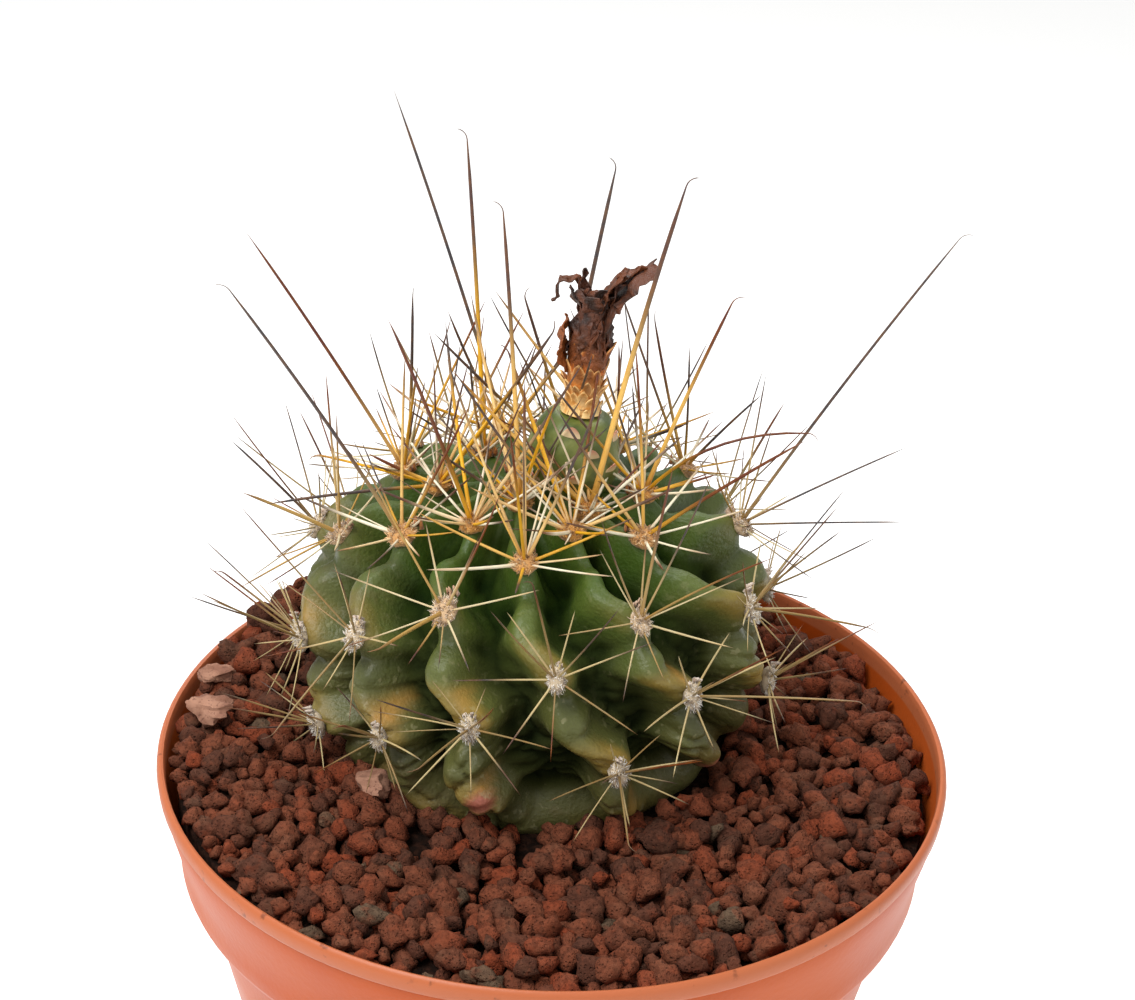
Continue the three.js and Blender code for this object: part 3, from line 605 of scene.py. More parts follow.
def plantOutline():
    turn = np.radians(np.arange(91))
    radius, shoulder, roundness = plant["radius"], plant["shoulder"], plant["roundness"]
    dome = np.transpose([radius * np.sin(turn) ** roundness,
                         shoulder + plant["dome"] * np.abs(np.cos(turn)) ** roundness])
    z = np.arange(shoulder - 1, plant["neck"] - 0.5, -1)
    side = np.transpose([radius * (1 - plant["taper"] * ((shoulder - z) / plant["taperSpan"]) ** 2), z])
    points = np.vstack([dome, side, plant["root"]])
    way = np.append(0, np.cumsum(np.hypot(*np.diff(points, axis=0).T)))
    return way, points[:, 0], points[:, 1]


outlineWay, outlineRadius, outlineHeight = plantOutline()
plantMatrix = Matrix.Translation(plant["place"]) @ Matrix.Rotation(math.radians(-plant["lean"]), 4, "Y")


def moved(points, matrix):
    # points in millimetres through a matrix
    return np.asarray(points) @ np.array(matrix.to_3x3()).T + np.array(matrix.translation)


def outlineAt(way):
    return np.interp(way, outlineWay, outlineRadius), np.interp(way, outlineWay, outlineHeight)


def outlineFrame(way):
    radius, height = outlineAt(way)
    radiusBefore, heightBefore = outlineAt(np.maximum(way - 0.5, 0))
    radiusAfter, heightAfter = outlineAt(way + 0.5)
    length = np.hypot(radiusAfter - radiusBefore, heightAfter - heightBefore)
    return radius, height, (heightBefore - heightAfter) / length, (radiusAfter - radiusBefore) / length


def areoleStart(rib):
    return ribs["start"] + ribs["pitch"] * (rib % ribs["count"] * ribs["step"] % 1)


def nudge(rib, way, which):
    # how far the nudged areoles move a rib here: which is 0 for round the plant, 1 for down the rib
    total = 0
    for name, move in nudged.items():
        number, row = (int(part) for part in name.split("_"))
        away = np.abs(way - areoleStart(number) - row * ribs["pitch"]) / ribs["pitch"]
        near = (rib % ribs["count"] == number) & (away < 1)
        total = total + np.where(near, move[which] * np.cos(away * math.pi / 2) ** 2, 0)
    return total


def fullness(rib, way, skew=0.0):
    # 1 at an areole of the rib and 0 between two; skewed, it drops fast below an areole and rises slowly
    phase = (way - areoleStart(rib) - nudge(rib, way, 1)) / ribs["pitch"]
    phase = phase + skew * np.sin(math.pi * phase) ** 2
    return 0.5 + 0.5 * np.cos(2 * math.pi * phase)


def ribAzimuth(rib, way):
    straight = ribs["first"] + rib * 360 / ribs["count"] + ribs["twist"] * (way - ribs["twistFrom"])
    return straight + nudge(rib, way, 0)


def crestAzimuth(rib, way):
    # the crest winds: it runs straight down from an areole, and turns aside just above the next
    return ribAzimuth(rib, way) + ribs["wander"] * smooth(10, 30, way) * (1 - fullness(rib, way, -0.16))


def grooveAzimuth(rib, way):
    sway = ribs["sway"] * smooth(8, 24, way) * (fullness(rib, way) - fullness(rib + 1, way)) / 2
    return (crestAzimuth(rib, way) + crestAzimuth(rib + 1, way)) / 2 + sway


def stemRaise(rib, across, way):
    # how far the skin lies in or out of the smooth outline
    edge = np.abs(across)
    full = fullness(rib, way + ribs["lead"], ribs["skew"])
    # a rib is a rounded cord, some degrees wide, that swells above each areole
    side = np.where(across < 0, grooveAzimuth(rib - 1, way), grooveAzimuth(rib, way))
    beside = edge * np.abs(side - crestAzimuth(rib, way))
    slope = 1 - np.exp(-(beside / (ribs["crest"] + ribs["swell"] * full)) ** 3.6)
    groove = ribs["groove"] * smooth(1, 26, way) * (0.88 * slope + 0.12 * edge ** 6)
    dip = ribs["dip"] * smooth(6, 22, way) * (1 - full) * (1 - edge ** 2)
    return -(1 - smooth(80, 86, way)) * (groove + dip)


def cloud(points, size, seed):
    # smooth noise from -1 to 1 at a list of points
    return np.array([noise.noise(Vector(point) / size + Vector((seed, 0, 0))) for point in points])


stem = {
    "columns": 38, "rings": 170, "visible": 84.0, "visibleShare": 0.88, "crownDip": 1.4,
    "broad": 0.8, "folds": 1.5, "fine": 0.22,
    # round an areole: the place above it, the reach along the rib and beside it, and the height
    "chin": (3.4, 3.0, 4.2, 0.8), "under": (-5.0, 2.6, 4.0, 1.1),
    "corkAbove": 4.6, "scars": [(12, 71.0, 0.0), (1, 75.8, -1.0)],
    # the hollow colours are painted shade, darkening the grooves between the ribs
    "youngHollowShade": (7, 22, 4), "youngCrest": (64, 90, 24), "oldHollowShade": (24, 31, 13),
    "oldCrest": (84, 87, 43), "tan": (168, 132, 58), "weatherAndSheen": (102, 92, 56), "cork": (194, 140, 66),
    "scar": (176, 104, 84), "bloom": (132, 134, 66), "scuff": (166, 160, 118),
    "patches": (70, 0.32, 0.68), "spots": (330, 0.45, 0.7), "scuffs": (520, 0.6, 0.68),
    "grain": (1600, 0.2, 0.8),
}


def mound(above, beside, height, tall, wide):
    # 1 at a height above an areole, fading along the rib and beside it
    return np.exp(-((above - height) / tall) ** 2 - (beside / wide) ** 2)


def stemSkin(mottle):
    material, tree, shader = newMaterial("stemSkin", 0.5)
    place = objectPlace(tree)
    crest, age = attributeValue(tree, "crest"), attributeValue(tree, "age")
    patches = mask(tree, mottle, place, *stem["patches"])
    spots = mask(tree, mottle, place, *stem["spots"])
    # painted shade: the grooves between the ribs are darkened with the hollow colours
    young = mixColours(tree, crest, stem["youngHollowShade"], stem["youngCrest"])
    old = mixColours(tree, crest, stem["oldHollowShade"], stem["oldCrest"])
    colour = mixColours(tree, span(tree, age, 0.3, 0.75), young, old)
    tan = maths(tree, "MULTIPLY", attributeValue(tree, "tan"), span(tree, patches, 0.0, 1.0, 0.45, 1.0))
    colour = mixColours(tree, tan, colour, stem["tan"])
    colour = mixColours(tree, maths(tree, "MULTIPLY", patches, crest), colour, stem["bloom"], 0.2)
    # paler and greyer: painted sheen on the left side, and real weathering towards the foot
    wornAndSheen = maths(tree, "MULTIPLY", attributeValue(tree, "weatherAndSheen"), span(tree, spots, 0.0, 1.0, 0.4, 0.85))
    colour = mixColours(tree, wornAndSheen, colour, stem["weatherAndSheen"])
    cork = maths(tree, "MULTIPLY", attributeValue(tree, "cork"), span(tree, spots, 0.0, 1.0, 0.6, 1.0))
    colour = mixColours(tree, cork, colour, stem["cork"])
    colour = mixColours(tree, attributeValue(tree, "scar"), colour, stem["scar"])
    scuffs = mask(tree, mottle, place, *stem["scuffs"])
    oldCrest = maths(tree, "MULTIPLY", crest, span(tree, age, 0.3, 0.8, 0.05, 0.4))
    scuffed = maths(tree, "MULTIPLY", scuffs, oldCrest)
    colour = mixColours(tree, scuffed, colour, stem["scuff"])
    # painted shade under each areole's chin, in the dark hollow colour
    colour = mixColours(tree, attributeValue(tree, "dentAndShadeUnderChin"), colour, stem["oldHollowShade"], 0.4)
    tree.links.new(colour, shader.inputs["Base Color"])
    tree.links.new(span(tree, crest, 0.1, 0.7, 0.95, 0.46), shader.inputs["Roughness"])
    tree.links.new(span(tree, crest, 0.2, 0.8, 0.04, 0.45), shader.inputs["Specular IOR Level"])
    grain = mask(tree, mottle, place, *stem["grain"])
    addBump(tree, shader, maths(tree, "ADD", grain, spots, clamp=False), 0.4, 0.00022)
    return material


def nearestAreole(rib, azimuth, way, radius):
    # how far each point lies above its nearest areole and beside it, and that areole's row
    start = areoleStart(rib) + nudge(rib, way, 1)
    row = np.maximum(np.round((way - start) / ribs["pitch"]), 0)
    above = start + row * ribs["pitch"] - way
    beside = np.radians(np.degrees(azimuth) - ribAzimuth(rib, way)) * radius
    return above, beside, row


def scarMask(places, rough):
    # pink scars near the foot, each at a rib, a way down it and some degrees aside
    scar = np.zeros(len(places))
    for rib, way, aside in stem["scars"]:
        radius, height = outlineAt(way)
        turn = math.radians(ribAzimuth(rib, way) + aside)
        middle = radius * math.sin(turn), -radius * math.cos(turn), height
        away = np.linalg.norm(places - middle, axis=1)
        scar = np.maximum(scar, 1 - smooth(1.6, 3.2, away + rough))
    return scar


def makeStem(mottle):
    count, columns = ribs["count"], stem["columns"]
    sides = count * columns
    body = addPrimitive(bpy.ops.mesh.primitive_uv_sphere_add, "cactusStem", segments=sides,
                        ring_count=stem["rings"], radius=1)
    ball = getPlaces(body.data)
    share = np.arccos(np.clip(ball[:, 2], -1, 1)) / math.pi
    column = np.round(np.arctan2(ball[:, 1], ball[:, 0]) / (2 * math.pi) * sides).astype(int) % sides
    rib, across = column // columns, 2 * (column % columns) / columns - 1
    way = np.interp(share, [0, stem["visibleShare"], 1], [0, stem["visible"], outlineWay[-1]])
    radius, height, outR, outZ = outlineFrame(way)
    side = np.where(across < 0, grooveAzimuth(rib - 1, way), grooveAzimuth(rib, way))
    azimuth = np.radians(crestAzimuth(rib, way) + (side - crestAzimuth(rib, way)) * np.abs(across))
    smoothSkin = np.transpose([radius * np.sin(azimuth), -radius * np.cos(azimuth), height])
    seen = 1 - smooth(80, 86, way)
    broad, fine, patch = (cloud(smoothSkin, size, seed) for size, seed in ((9, 1), (2.2, 2), (13, 3)))
    # shallow creases run slantwise round the older part
    folds = 1 - np.abs(cloud(smoothSkin * (0.55, 0.55, 1.5) + 2.5 * broad[:, None], 5.0, 4)) * 2
    lift = stemRaise(rib, across, way)
    lift += seen * smooth(14, 45, way) * stem["broad"] * broad * (1 - np.abs(across) ** 3)
    lift -= seen * smooth(44, 64, way) * stem["folds"] * np.clip(folds, 0, 1) ** 3
    lift += seen * stem["fine"] * fine
    # a chin stands out over each areole, and the rib falls back under it
    above, beside, row = nearestAreole(rib, azimuth, way, radius)
    dentAndShadeUnderChin = mound(above, beside, *stem["under"][:3]) * smooth(14, 30, way) * seen
    chin = mound(above, beside, *stem["chin"][:3]) * smooth(14, 30, way) * seen
    lift += stem["chin"][3] * chin - stem["under"][3] * dentAndShadeUnderChin
    corky = chance(rib + 3.0, row + 5.0)
    cork = mound(above, beside - 3.4 * (corky - 0.5), stem["corkAbove"], 2.2, 1.5)
    cork *= smooth(34, 58, way) * smooth(0.25, 0.8, corky) * seen
    out = np.maximum(radius + outR * lift, 0)
    places = np.transpose([out * np.sin(azimuth), -out * np.cos(azimuth), height + outZ * lift])
    scar = scarMask(places, 0.7 * fine)
    places[:, 2] -= stem["crownDip"] * (1 - smooth(0, 9, way))
    # the crest is measured from the relief itself, so that colour follows the form, and the hollows get
    # painted shade
    crest = np.clip(1 + (lift + 0.8) / (ribs["groove"] * smooth(1, 26, way) + 0.5), 0, 1)
    setAttribute(body.data, "crest", smooth(0.02, 0.7, crest))
    setAttribute(body.data, "age", way / 80)
    tan = smooth(0.72, 1.0, crest) * smooth(28, 56, way) * smooth(0.35, 0.95, fullness(rib, way + 2.5))
    setAttribute(body.data, "tan", tan * (0.8 + 0.5 * patch))
    setAttribute(body.data, "cork", np.clip(cork, 0, 1))
    setAttribute(body.data, "scar", scar)
    # the dent under each chin also carries painted shade into the skin colour
    setAttribute(body.data, "dentAndShadeUnderChin", dentAndShadeUnderChin)
    # the left side is painted paler as a sheen; near the foot the paler colour is weathering
    leftSheen = smooth(0.15, 0.95, -np.sin(azimuth)) * smooth(16, 44, way) * smooth(-0.25, 0.4, patch)
    foot = smooth(58, 76, way) * 0.8
    setAttribute(body.data, "weatherAndSheen", np.clip(0.75 * leftSheen + foot, 0, 1) * smooth(0.2, 0.8, crest))
    setPlaces(body.data, moved(places, plantMatrix) * mm)
    putInFrame(body, stemSkin(mottle), ["stem"])
    print("stem done")


# areoles: where the spines, the felt and the fruit stand

def areoleSite(rib, row):
    way = areoleStart(rib) + ribs["pitch"] * row + nudged.get(f"{rib}_{row}", (0, 0))[1]
    turn = math.radians(ribAzimuth(rib, way))
    radius = outlineAt(way)[0]
    # the fruit pushes the areoles beside it outwards
    fruitX, fruitY = fruit["base"][:2]
    toFruit = math.hypot(radius * math.sin(turn) - fruitX, -radius * math.cos(turn) - fruitY)
    way += max(fruit["room"] - toFruit, 0)
    turn = math.radians(ribAzimuth(rib, way))
    radius, height, outR, outZ = (float(value) for value in outlineFrame(way))
    outward = Vector((math.sin(turn), -math.cos(turn), 0))
    side = Vector((math.cos(turn), math.sin(turn), 0))
    normal = outward * outR + Vector((0, 0, outZ))
    place = outward * radius + Vector((0, 0, height)) + normal * float(stemRaise(rib, 0.0, way))
    return {"name": f"{rib}_{row}", "rib": rib, "row": row, "way": way, "place": place, "normal": normal,
            "upward": normal.cross(side), "side": side}


def allSites():
    sites = [areoleSite(rib, row) for rib in range(ribs["count"]) for row in range(5)]
    return [site for site in sites if site["way"] < ribs["last"] and site["name"] != ribs["fruitAreole"]]


def needleMaster(sides, rings):
    # a closed needle of rings, bent and thinned later for each spine or hair
    needle = addPrimitive(bpy.ops.mesh.primitive_circle_add, "needleMaster", vertices=sides, radius=1,
                          fill_type="NGON")
    bpy.ops.object.mode_set(mode="EDIT")
    bpy.ops.mesh.select_all(action="SELECT")
    for _ in range(rings):
        bpy.ops.mesh.extrude_region_move(TRANSFORM_OT_translate={"value": (0, 0, 1 / rings)})
    bpy.ops.mesh.merge(type="CENTER")
    bpy.ops.mesh.select_all(action="SELECT")
    bpy.ops.mesh.normals_make_consistent(inside=False)
    bpy.ops.object.mode_set(mode="OBJECT")
    return needle


hook = {"radius": 1.9, "turn": 84, "rings": 5, "drop": -10}


def needlePath(root, start, end, length, rings, curl=None):
    # the direction turns slowly from start to end, and quickly at a hook
    steps = rings - hook["rings"] if curl else rings
    straight = length - hook["radius"] if curl else length
    start, end = np.array(start.normalized()), np.array(end.normalized())
    tangents = start + (end - start) * np.linspace(0, 1, steps)[:, None]
    tangents /= np.linalg.norm(tangents, axis=1)[:, None]
    path = np.array(root) + np.vstack([np.zeros(3), np.cumsum(tangents, axis=0)]) * straight / steps
    if curl is None:
        return path
    last = tangents[-1]
    across = np.array(curl) - np.dot(curl, last) * last
    across /= np.linalg.norm(across)
    angle = np.radians(hook["turn"]) * np.arange(1, hook["rings"] + 1)[:, None] / hook["rings"]
    bend = last * np.sin(angle) + across * (1 - np.cos(angle))
    return np.vstack([path, path[-1] + hook["radius"] * bend])


def bendNeedle(master, path, thick, flat, seed):
    # places of the needle's points around a path, thinner towards the tip
    ball = getPlaces(master.data)
    rings = len(path) - 1
    ring = np.round(ball[:, 2] * rings).astype(int)
    tangents = np.gradient(path, axis=0)
    tangents /= np.linalg.norm(tangents, axis=1)[:, None]
    across = np.cross(tangents[0], (math.sin(seed * 5.1), math.cos(seed * 3.7), 0.4))
    frames = []
    for tangent in tangents:
        across = across - np.dot(across, tangent) * tangent
        across = across / np.linalg.norm(across)
        frames.append((across, np.cross(tangent, across)))
    frames = np.array(frames)
    along = np.append(0, np.cumsum(np.linalg.norm(np.diff(path, axis=0), axis=1)))
    share = (along / along[-1])[ring]
    radius = thick * (1 - 0.4 * share) * (1 - 0.75 * smooth(0.82, 1, share)) * (1 + 0.3 * (ring == 0))
    return (path[ring] + frames[ring, 0] * (ball[:, 0] * radius)[:, None]
            + frames[ring, 1] * (ball[:, 1] * radius * flat)[:, None]), share


def direction(heading, rise):
    # from a heading off the front towards the right and a rise, in degrees, into the plant's frame
    heading, rise = math.radians(heading), math.radians(rise)
    way = Vector((math.cos(rise) * math.sin(heading), -math.cos(rise) * math.cos(heading), math.sin(rise)))
    return plantMatrix.to_3x3().transposed() @ way


# spines: lengths are in millimetres, and each millimetre on the way from the crown takes "less" off

spine = {
    "felt": 0.9,
    "main": {"radius": 0.56, "length": 41, "less": 0.44, "vary": 8, "lift": 0.7, "hooked": 0.6, "flat": 0.72},
    "central": {"radius": 0.38, "length": 36, "less": 0.27, "vary": 8, "lift": 0.75, "aside": 0.4,
                "flat": 0.85},
    "radial": {"radius": 0.3, "length": 11.5, "wide": 7.5, "vary": 3, "count": 7, "spread": 71,
               "crownSpread": 47},
    "young": {"radius": 0.24, "length": 20, "vary": 9, "count": 3, "reach": 26},
    "thickRings": 14, "thinRings": 8,
    "gold": (244, 184, 32), "honey": (184, 116, 20), "ivory": (255, 251, 226), "straw": (142, 120, 78),
    "oldIvory": (200, 182, 132), "rust": (96, 40, 20), "slate": (62, 58, 60),
    "streaks": (420, 0.3, 0.7),
}

# long central spines as the photograph shows them: length, heading, rise, the way the hook curls, tone
longSpines = {
    "7_0": (66, -130, 64, None, "slate"), "8_0": (59, -150, 82, -90, "inked"),
    "0_0": (53, -150, 81, -90, "inked"), "6_0": (53, 150, 70, -90, "slate"),
    "2_0": (62, 100, 77, 90, "inked"), "3_0": (39, 112, 67, 90, "amber"),
    "3_1": (65, 100, 57, 90, "slate"), "9_0": (52, -95, 58, None, "rust"),
    "9_1": (24, -80, 50, None, "slate"), "11_0": (57, -72, 60, -90, "slate"),
    "12_0": (42, -75, 70, None, "rust"), "2_1": (36, 70, 42, None, "rust"),
    "2_2": (31, 38, 20, 60, "horn"), "1_2": (31, 66, 15, 60, "horn"), "11_1": (33, -18, 0, -60, "horn"),
    "0_3": (22, 4, 2, 30, "horn"), "10_1": (20, -70, 32, None, "horn"), "10_2": (18, -80, 30, None, "horn"),
    "12_1": (25, -22, 14, -80, "horn"), "12_2": (24, -18, 16, -80, "horn"),
}

# thinner ones that only show here: areole, length, heading and rise at the root, and at the tip, curl, tone
sideSpines = [
    ("3_0", 34, 77, 52, 90, 2, 80, "rust"), ("4_1", 22, 72, 55, 72, 50, None, "slate"),
    ("3_1", 33, 95, 30, 95, 26, None, "slate"), ("3_1", 30, 83, 8, 83, 6, None, "slate"),
    ("10_0", 32, -63, 8, -63, 2, None, "slate"), ("10_0", 23, -90, 16, -90, 12, -90, "horn"),
    ("10_1", 20, -66, -20, -66, -24, None, "horn"), ("1_1", 30, 60, 44, 64, 36, None, "amber"),
    ("0_0", 30, 20, 62, 24, 58, None, "gold"), ("0_1", 33, -12, 70, -12, 66, None, "amber"),
]

# tone: how far the dark reaches down from the tip, and how grey it is
tones = {"gold": (0.12, 0.2), "amber": (0.5, 0.0), "rust": (0.86, 0.12), "inked": (0.56, 0.7),
         "slate": (0.92, 1.0), "horn": (0.2, 0.5)}


def spineHorn(mottle):
    material, tree, shader = newMaterial("spineHorn", 0.36)
    along, age = attributeValue(tree, "along"), attributeValue(tree, "age")
    streaks = mask(tree, mottle, objectPlace(tree), *spine["streaks"])
    crown = mixColours(tree, attributeValue(tree, "pale"), spine["gold"], spine["ivory"])
    crown = mixColours(tree, span(tree, along, 0.0, 0.25, 0.4, 0.0), crown, spine["honey"])
    crown = mixColours(tree, span(tree, along, 0.45, 0.85, 0.0, 0.5), crown, spine["honey"])
    old = mixColours(tree, attributeValue(tree, "pale"), spine["straw"], spine["oldIvory"])
    colour = mixColours(tree, age, crown, old)
    tip = mixColours(tree, attributeValue(tree, "slate"), spine["rust"], spine["slate"])
    reach = maths(tree, "ADD", along, attributeValue(tree, "shade"), clamp=False)
    colour = mixColours(tree, span(tree, reach, 0.84, 1.3), colour, tip)
    colour = mixColours(tree, streaks, colour, spine["honey"], 0.2)
    tree.links.new(colour, shader.inputs["Base Color"])
    shader.inputs["Specular IOR Level"].default_value = 0.35
    addBump(tree, shader, streaks, 0.2, 0.0001)
    return material


def addSpine(master, rings, site, start, end, length, shape, look, seed):
    # the shape is a radius, a flatness and a curl; the look is a shade, a slate tone and a pale tone
    thick, flat, curl = shape
    shade, slate, pale = look
    root = site["place"] + site["normal"] * spine["felt"] * 0.4
    path = needlePath(root, start, end, length, rings, curl)
    age = float(smooth(16, 46, site["way"]))
    places, share = bendNeedle(master, path, thick * (1 - 0.44 * age), flat, seed)
    return copyOf(master, "spine", moved(places, plantMatrix) * mm,
                  along=share, age=age, shade=shade, slate=slate, pale=pale)


def mainSpine(master, rings, site, number):
    main = spine["main"]
    if site["name"] in longSpines:
        length, heading, rise, curl, tone = longSpines[site["name"]]
        start, end = direction(heading, rise + 2), direction(heading, rise - 2)
        curl = None if curl is None else direction(curl, hook["drop"])
        shade, slate = tones[tone]
    else:
        along = (site["normal"] + site["upward"] * (main["lift"] + 0.4 * chance(number, 3))
                 + site["side"] * 0.5 * (chance(number, 4) - 0.5))
        start, end = along.normalized() + site["upward"] * 0.03, along.normalized() - site["upward"] * 0.03
        length = main["length"] - main["less"] * site["way"] + main["vary"] * chance(number, 5)
        hooked = chance(number, 7) < main["hooked"]
        curl = site["side"] * (chance(number, 6) - 0.5) - site["upward"] * 0.3 if hooked else None
        shade, slate = 0.36 + 0.4 * chance(number, 8), chance(number, 9)
    shape, look = (main["radius"], main["flat"], curl), (shade, slate, 0.3 * chance(number, 10) ** 2)
    return addSpine(master, rings, site, start, end, length, shape, look, number)


def centralSpines(master, rings, site, number):
    central = spine["central"]
    for hand in (-1, 1):
        along = (site["normal"] + site["upward"] * central["lift"]
                 + site["side"] * hand * (central["aside"] + 0.2 * chance(number, hand + 12))).normalized()
        length = (central["length"] - central["less"] * site["way"]
                  + central["vary"] * chance(number, hand + 14))
        look = (0.2 + 0.6 * chance(number, hand + 16), smooth(0.2, 0.6, chance(number, hand + 18)),
                0.5 * chance(number, hand + 22) ** 2)
        bow = site["side"] * 0.05 * hand
        yield addSpine(master, rings, site, along + bow, along - bow, length,
                       (central["radius"], central["flat"], None), look, number + hand * 0.37)


def radialSpines(master, rings, site, number):
    # one for each of the solid's, and thinner ones between them
    radial = spine["radial"]
    slant = math.radians(radial["crownSpread"]
                         + (radial["spread"] - radial["crownSpread"]) * float(smooth(8, 32, site["way"])))
    for i in range(2 * radial["count"]):
        place, between = i / 2, i % 2
        if between and chance(number, i + 130) < (0.35 if site["row"] == 0 else 0.9):
            continue
        angle = (place + 0.5 + 0.4 * (chance(number, place + 20) - 0.5)) / radial["count"] * 2 * math.pi
        low = slant + (0.12 if between else 0)
        along = (site["normal"] * math.cos(low) + site["upward"] * math.sin(low) * math.cos(angle)
                 + site["side"] * math.sin(low) * math.sin(angle))
        length = (radial["length"] + radial["wide"] * abs(math.sin(angle))
                  + radial["vary"] * chance(number, place + 40))
        length *= (1.2 - 0.007 * site["way"]) * (0.72 if between else 1)
        thick = radial["radius"] * (0.7 if between else 1) * (0.85 + 0.6 * chance(number, i + 160) ** 2)
        dark = 0.75 if site["row"] == 0 else 0.6
        look = (0.02 + dark * chance(number, i + 60) ** 1.5, smooth(0.1, 0.7, chance(number, i + 80)),
                smooth(0.1, 0.5, chance(number, i + 90)))
        bow = site["normal"] * (0.06 + 0.05 * chance(number, i + 100))
        yield addSpine(master, rings, site, along - bow * 0.3, along + bow, length, (thick, 1, None), look,
                       number + i * 1.3)


def youngSpines(master, rings, site, number):
    # the crown's own thin upright spines
    young = spine["young"]
    for i in range(young["count"]):
        lean = (chance(number, i + 200) - 0.5, chance(number, i + 220))
        along = site["normal"] + site["upward"] * (0.1 + 0.9 * lean[1]) + site["side"] * 1.1 * lean[0]
        length = young["length"] + young["vary"] * chance(number, i + 240)
        look = (0.1 + 0.8 * chance(number, i + 260), 0.4 + 0.6 * chance(number, i + 280),
                chance(number, i + 300))
        yield addSpine(master, rings, site, along, along + site["side"] * 0.1 * lean[0], length,
                       (young["radius"], 1, None), look, number + i * 2.7)


def makeSpines(mottle, sites):
    thickRings, thinRings = spine["thickRings"], spine["thinRings"]
    thick, thin = needleMaster(7, thickRings), needleMaster(5, thinRings)
    horn = spineHorn(mottle)
    bunches = {"spinesCrown": ([], "spines_crown", (0,)), "spinesSide": ([], "spines_side", (1,)),
               "spinesBase": ([], "spines_base", (2, 3))}
    for number, site in enumerate(sites, 1):
        grown = next(grown for grown, slot, rows in bunches.values() if site["row"] in rows)
        grown.append(mainSpine(thick, thickRings, site, number))
        grown.extend(centralSpines(thick, thickRings, site, number))
        grown.extend(radialSpines(thin, thinRings, site, number))
        if site["way"] < spine["young"]["reach"]:
            grown.extend(youngSpines(thin, thinRings, site, number))
        for index, (name, length, heading, rise, endHeading, endRise, curl, tone) in enumerate(sideSpines):
            if name == site["name"]:
                curl = None if curl is None else direction(curl, -60)
                shape = spine["central"]["radius"], spine["central"]["flat"], curl
                start, end = direction(heading, rise), direction(endHeading, endRise)
                grown.append(addSpine(thick, thickRings, site, start, end, length, shape, (*tones[tone], 0.0),
                                      index + 0.5))
    for name, (grown, slot, rows) in bunches.items():
        nodes = [f"areole_{site['name']}" for site in sites if site["row"] in rows]
        print(name, len(grown), "spines")
        putInFrame(joined(grown, name), horn, nodes)
    for master in (thick, thin):
        bpy.data.objects.remove(master)


# felt cushions of short hairs

felt = {
    "kinds": 4, "size": (2.7, 2.8, 1.6), "hairs": 150, "hair": 1.15, "thick": 0.13,
    "nubs": 5, "nubWide": 3.4, "nubUp": 2.2, "nubThick": 0.42,
    "tan": (192, 130, 58), "cream": (232, 188, 118), "grey": (206, 188, 160), "white": (250, 246, 238),
    "dark": (98, 72, 52), "nub": (170, 100, 42), "apex": 7, "lift": 0.35,
    "dirt": (800, 0.5, 0.62),
}


def areoleFelt(mottle):
    material, tree, shader = newMaterial("areoleFelt", 0.95)
    age, tint = attributeValue(tree, "age"), attributeValue(tree, "tint")
    young = mixColours(tree, tint, felt["tan"], felt["cream"])
    old = mixColours(tree, span(tree, tint, 0.15, 0.8), felt["grey"], felt["white"])
    colour = mixColours(tree, age, young, old)
    dirt = mask(tree, mottle, objectPlace(tree), *felt["dirt"])
    colour = mixColours(tree, dirt, colour, felt["dark"], 0.55)
    colour = mixColours(tree, attributeValue(tree, "nub"), colour, felt["nub"])
    tree.links.new(colour, shader.inputs["Base Color"])
    shader.inputs["Specular IOR Level"].default_value = 0.2
    shader.inputs["Sheen Weight"].default_value = 0.3
    addBump(tree, shader, dirt, 0.5, 0.0002)
    return material


def feltMaster(kind, hair):
    # a cushion with hairs standing out of it; x is the side, y is up the rib, z is outwards
    cushion = addPrimitive(bpy.ops.mesh.primitive_uv_sphere_add, "cushion", segments=14, ring_count=8,
                           radius=1)
    ball = getPlaces(cushion.data)
    lumps = 1 + 0.25 * cloud(ball, 0.45, kind * 3.0)
    setPlaces(cushion.data, ball * np.array(felt["size"]) * 0.92 * lumps[:, None])
    setAttribute(cushion.data, "tint", 0.15)
    setAttribute(cushion.data, "nub", 0)
    parts = [cushion]
    for i in range(felt["hairs"]):
        turn, rise = i * 2.4, math.asin(0.1 + 0.88 * (i + 0.5) / felt["hairs"])
        out = Vector((math.cos(turn) * math.cos(rise), math.sin(turn) * math.cos(rise), math.sin(rise)))
        root = Vector([c * size * 0.8 for c, size in zip(out, felt["size"])])
        lean = Vector([chance(i + kind * 70, key) - 0.5 for key in (1, 2, 3)])
        length = felt["hair"] * (0.5 + 0.7 * chance(i, kind + 4))
        path = needlePath(root, out + lean, out + lean * 3, length, 3)
        places, _ = bendNeedle(hair, path, felt["thick"], 1, i)
        parts.append(copyOf(hair, "hair", places, tint=chance(i, kind + 9), nub=0))
    for i in range(felt["nubs"]):
        aside, up = felt["nubWide"] * (chance(i, kind + 30) - 0.5), felt["nubUp"] + 1.2 * chance(i, kind + 31)
        out = Vector((0.3 * (chance(i, kind + 33) - 0.5), 0.35, 1))
        path = needlePath(Vector((aside, up, 0.1)), out, out, 1.2 + chance(i, kind + 35), 3)
        places, _ = bendNeedle(hair, path, felt["nubThick"], 1, i)
        parts.append(copyOf(hair, "nub", places, tint=0.5, nub=0.9))
    return joined(parts, f"feltMaster{kind}")


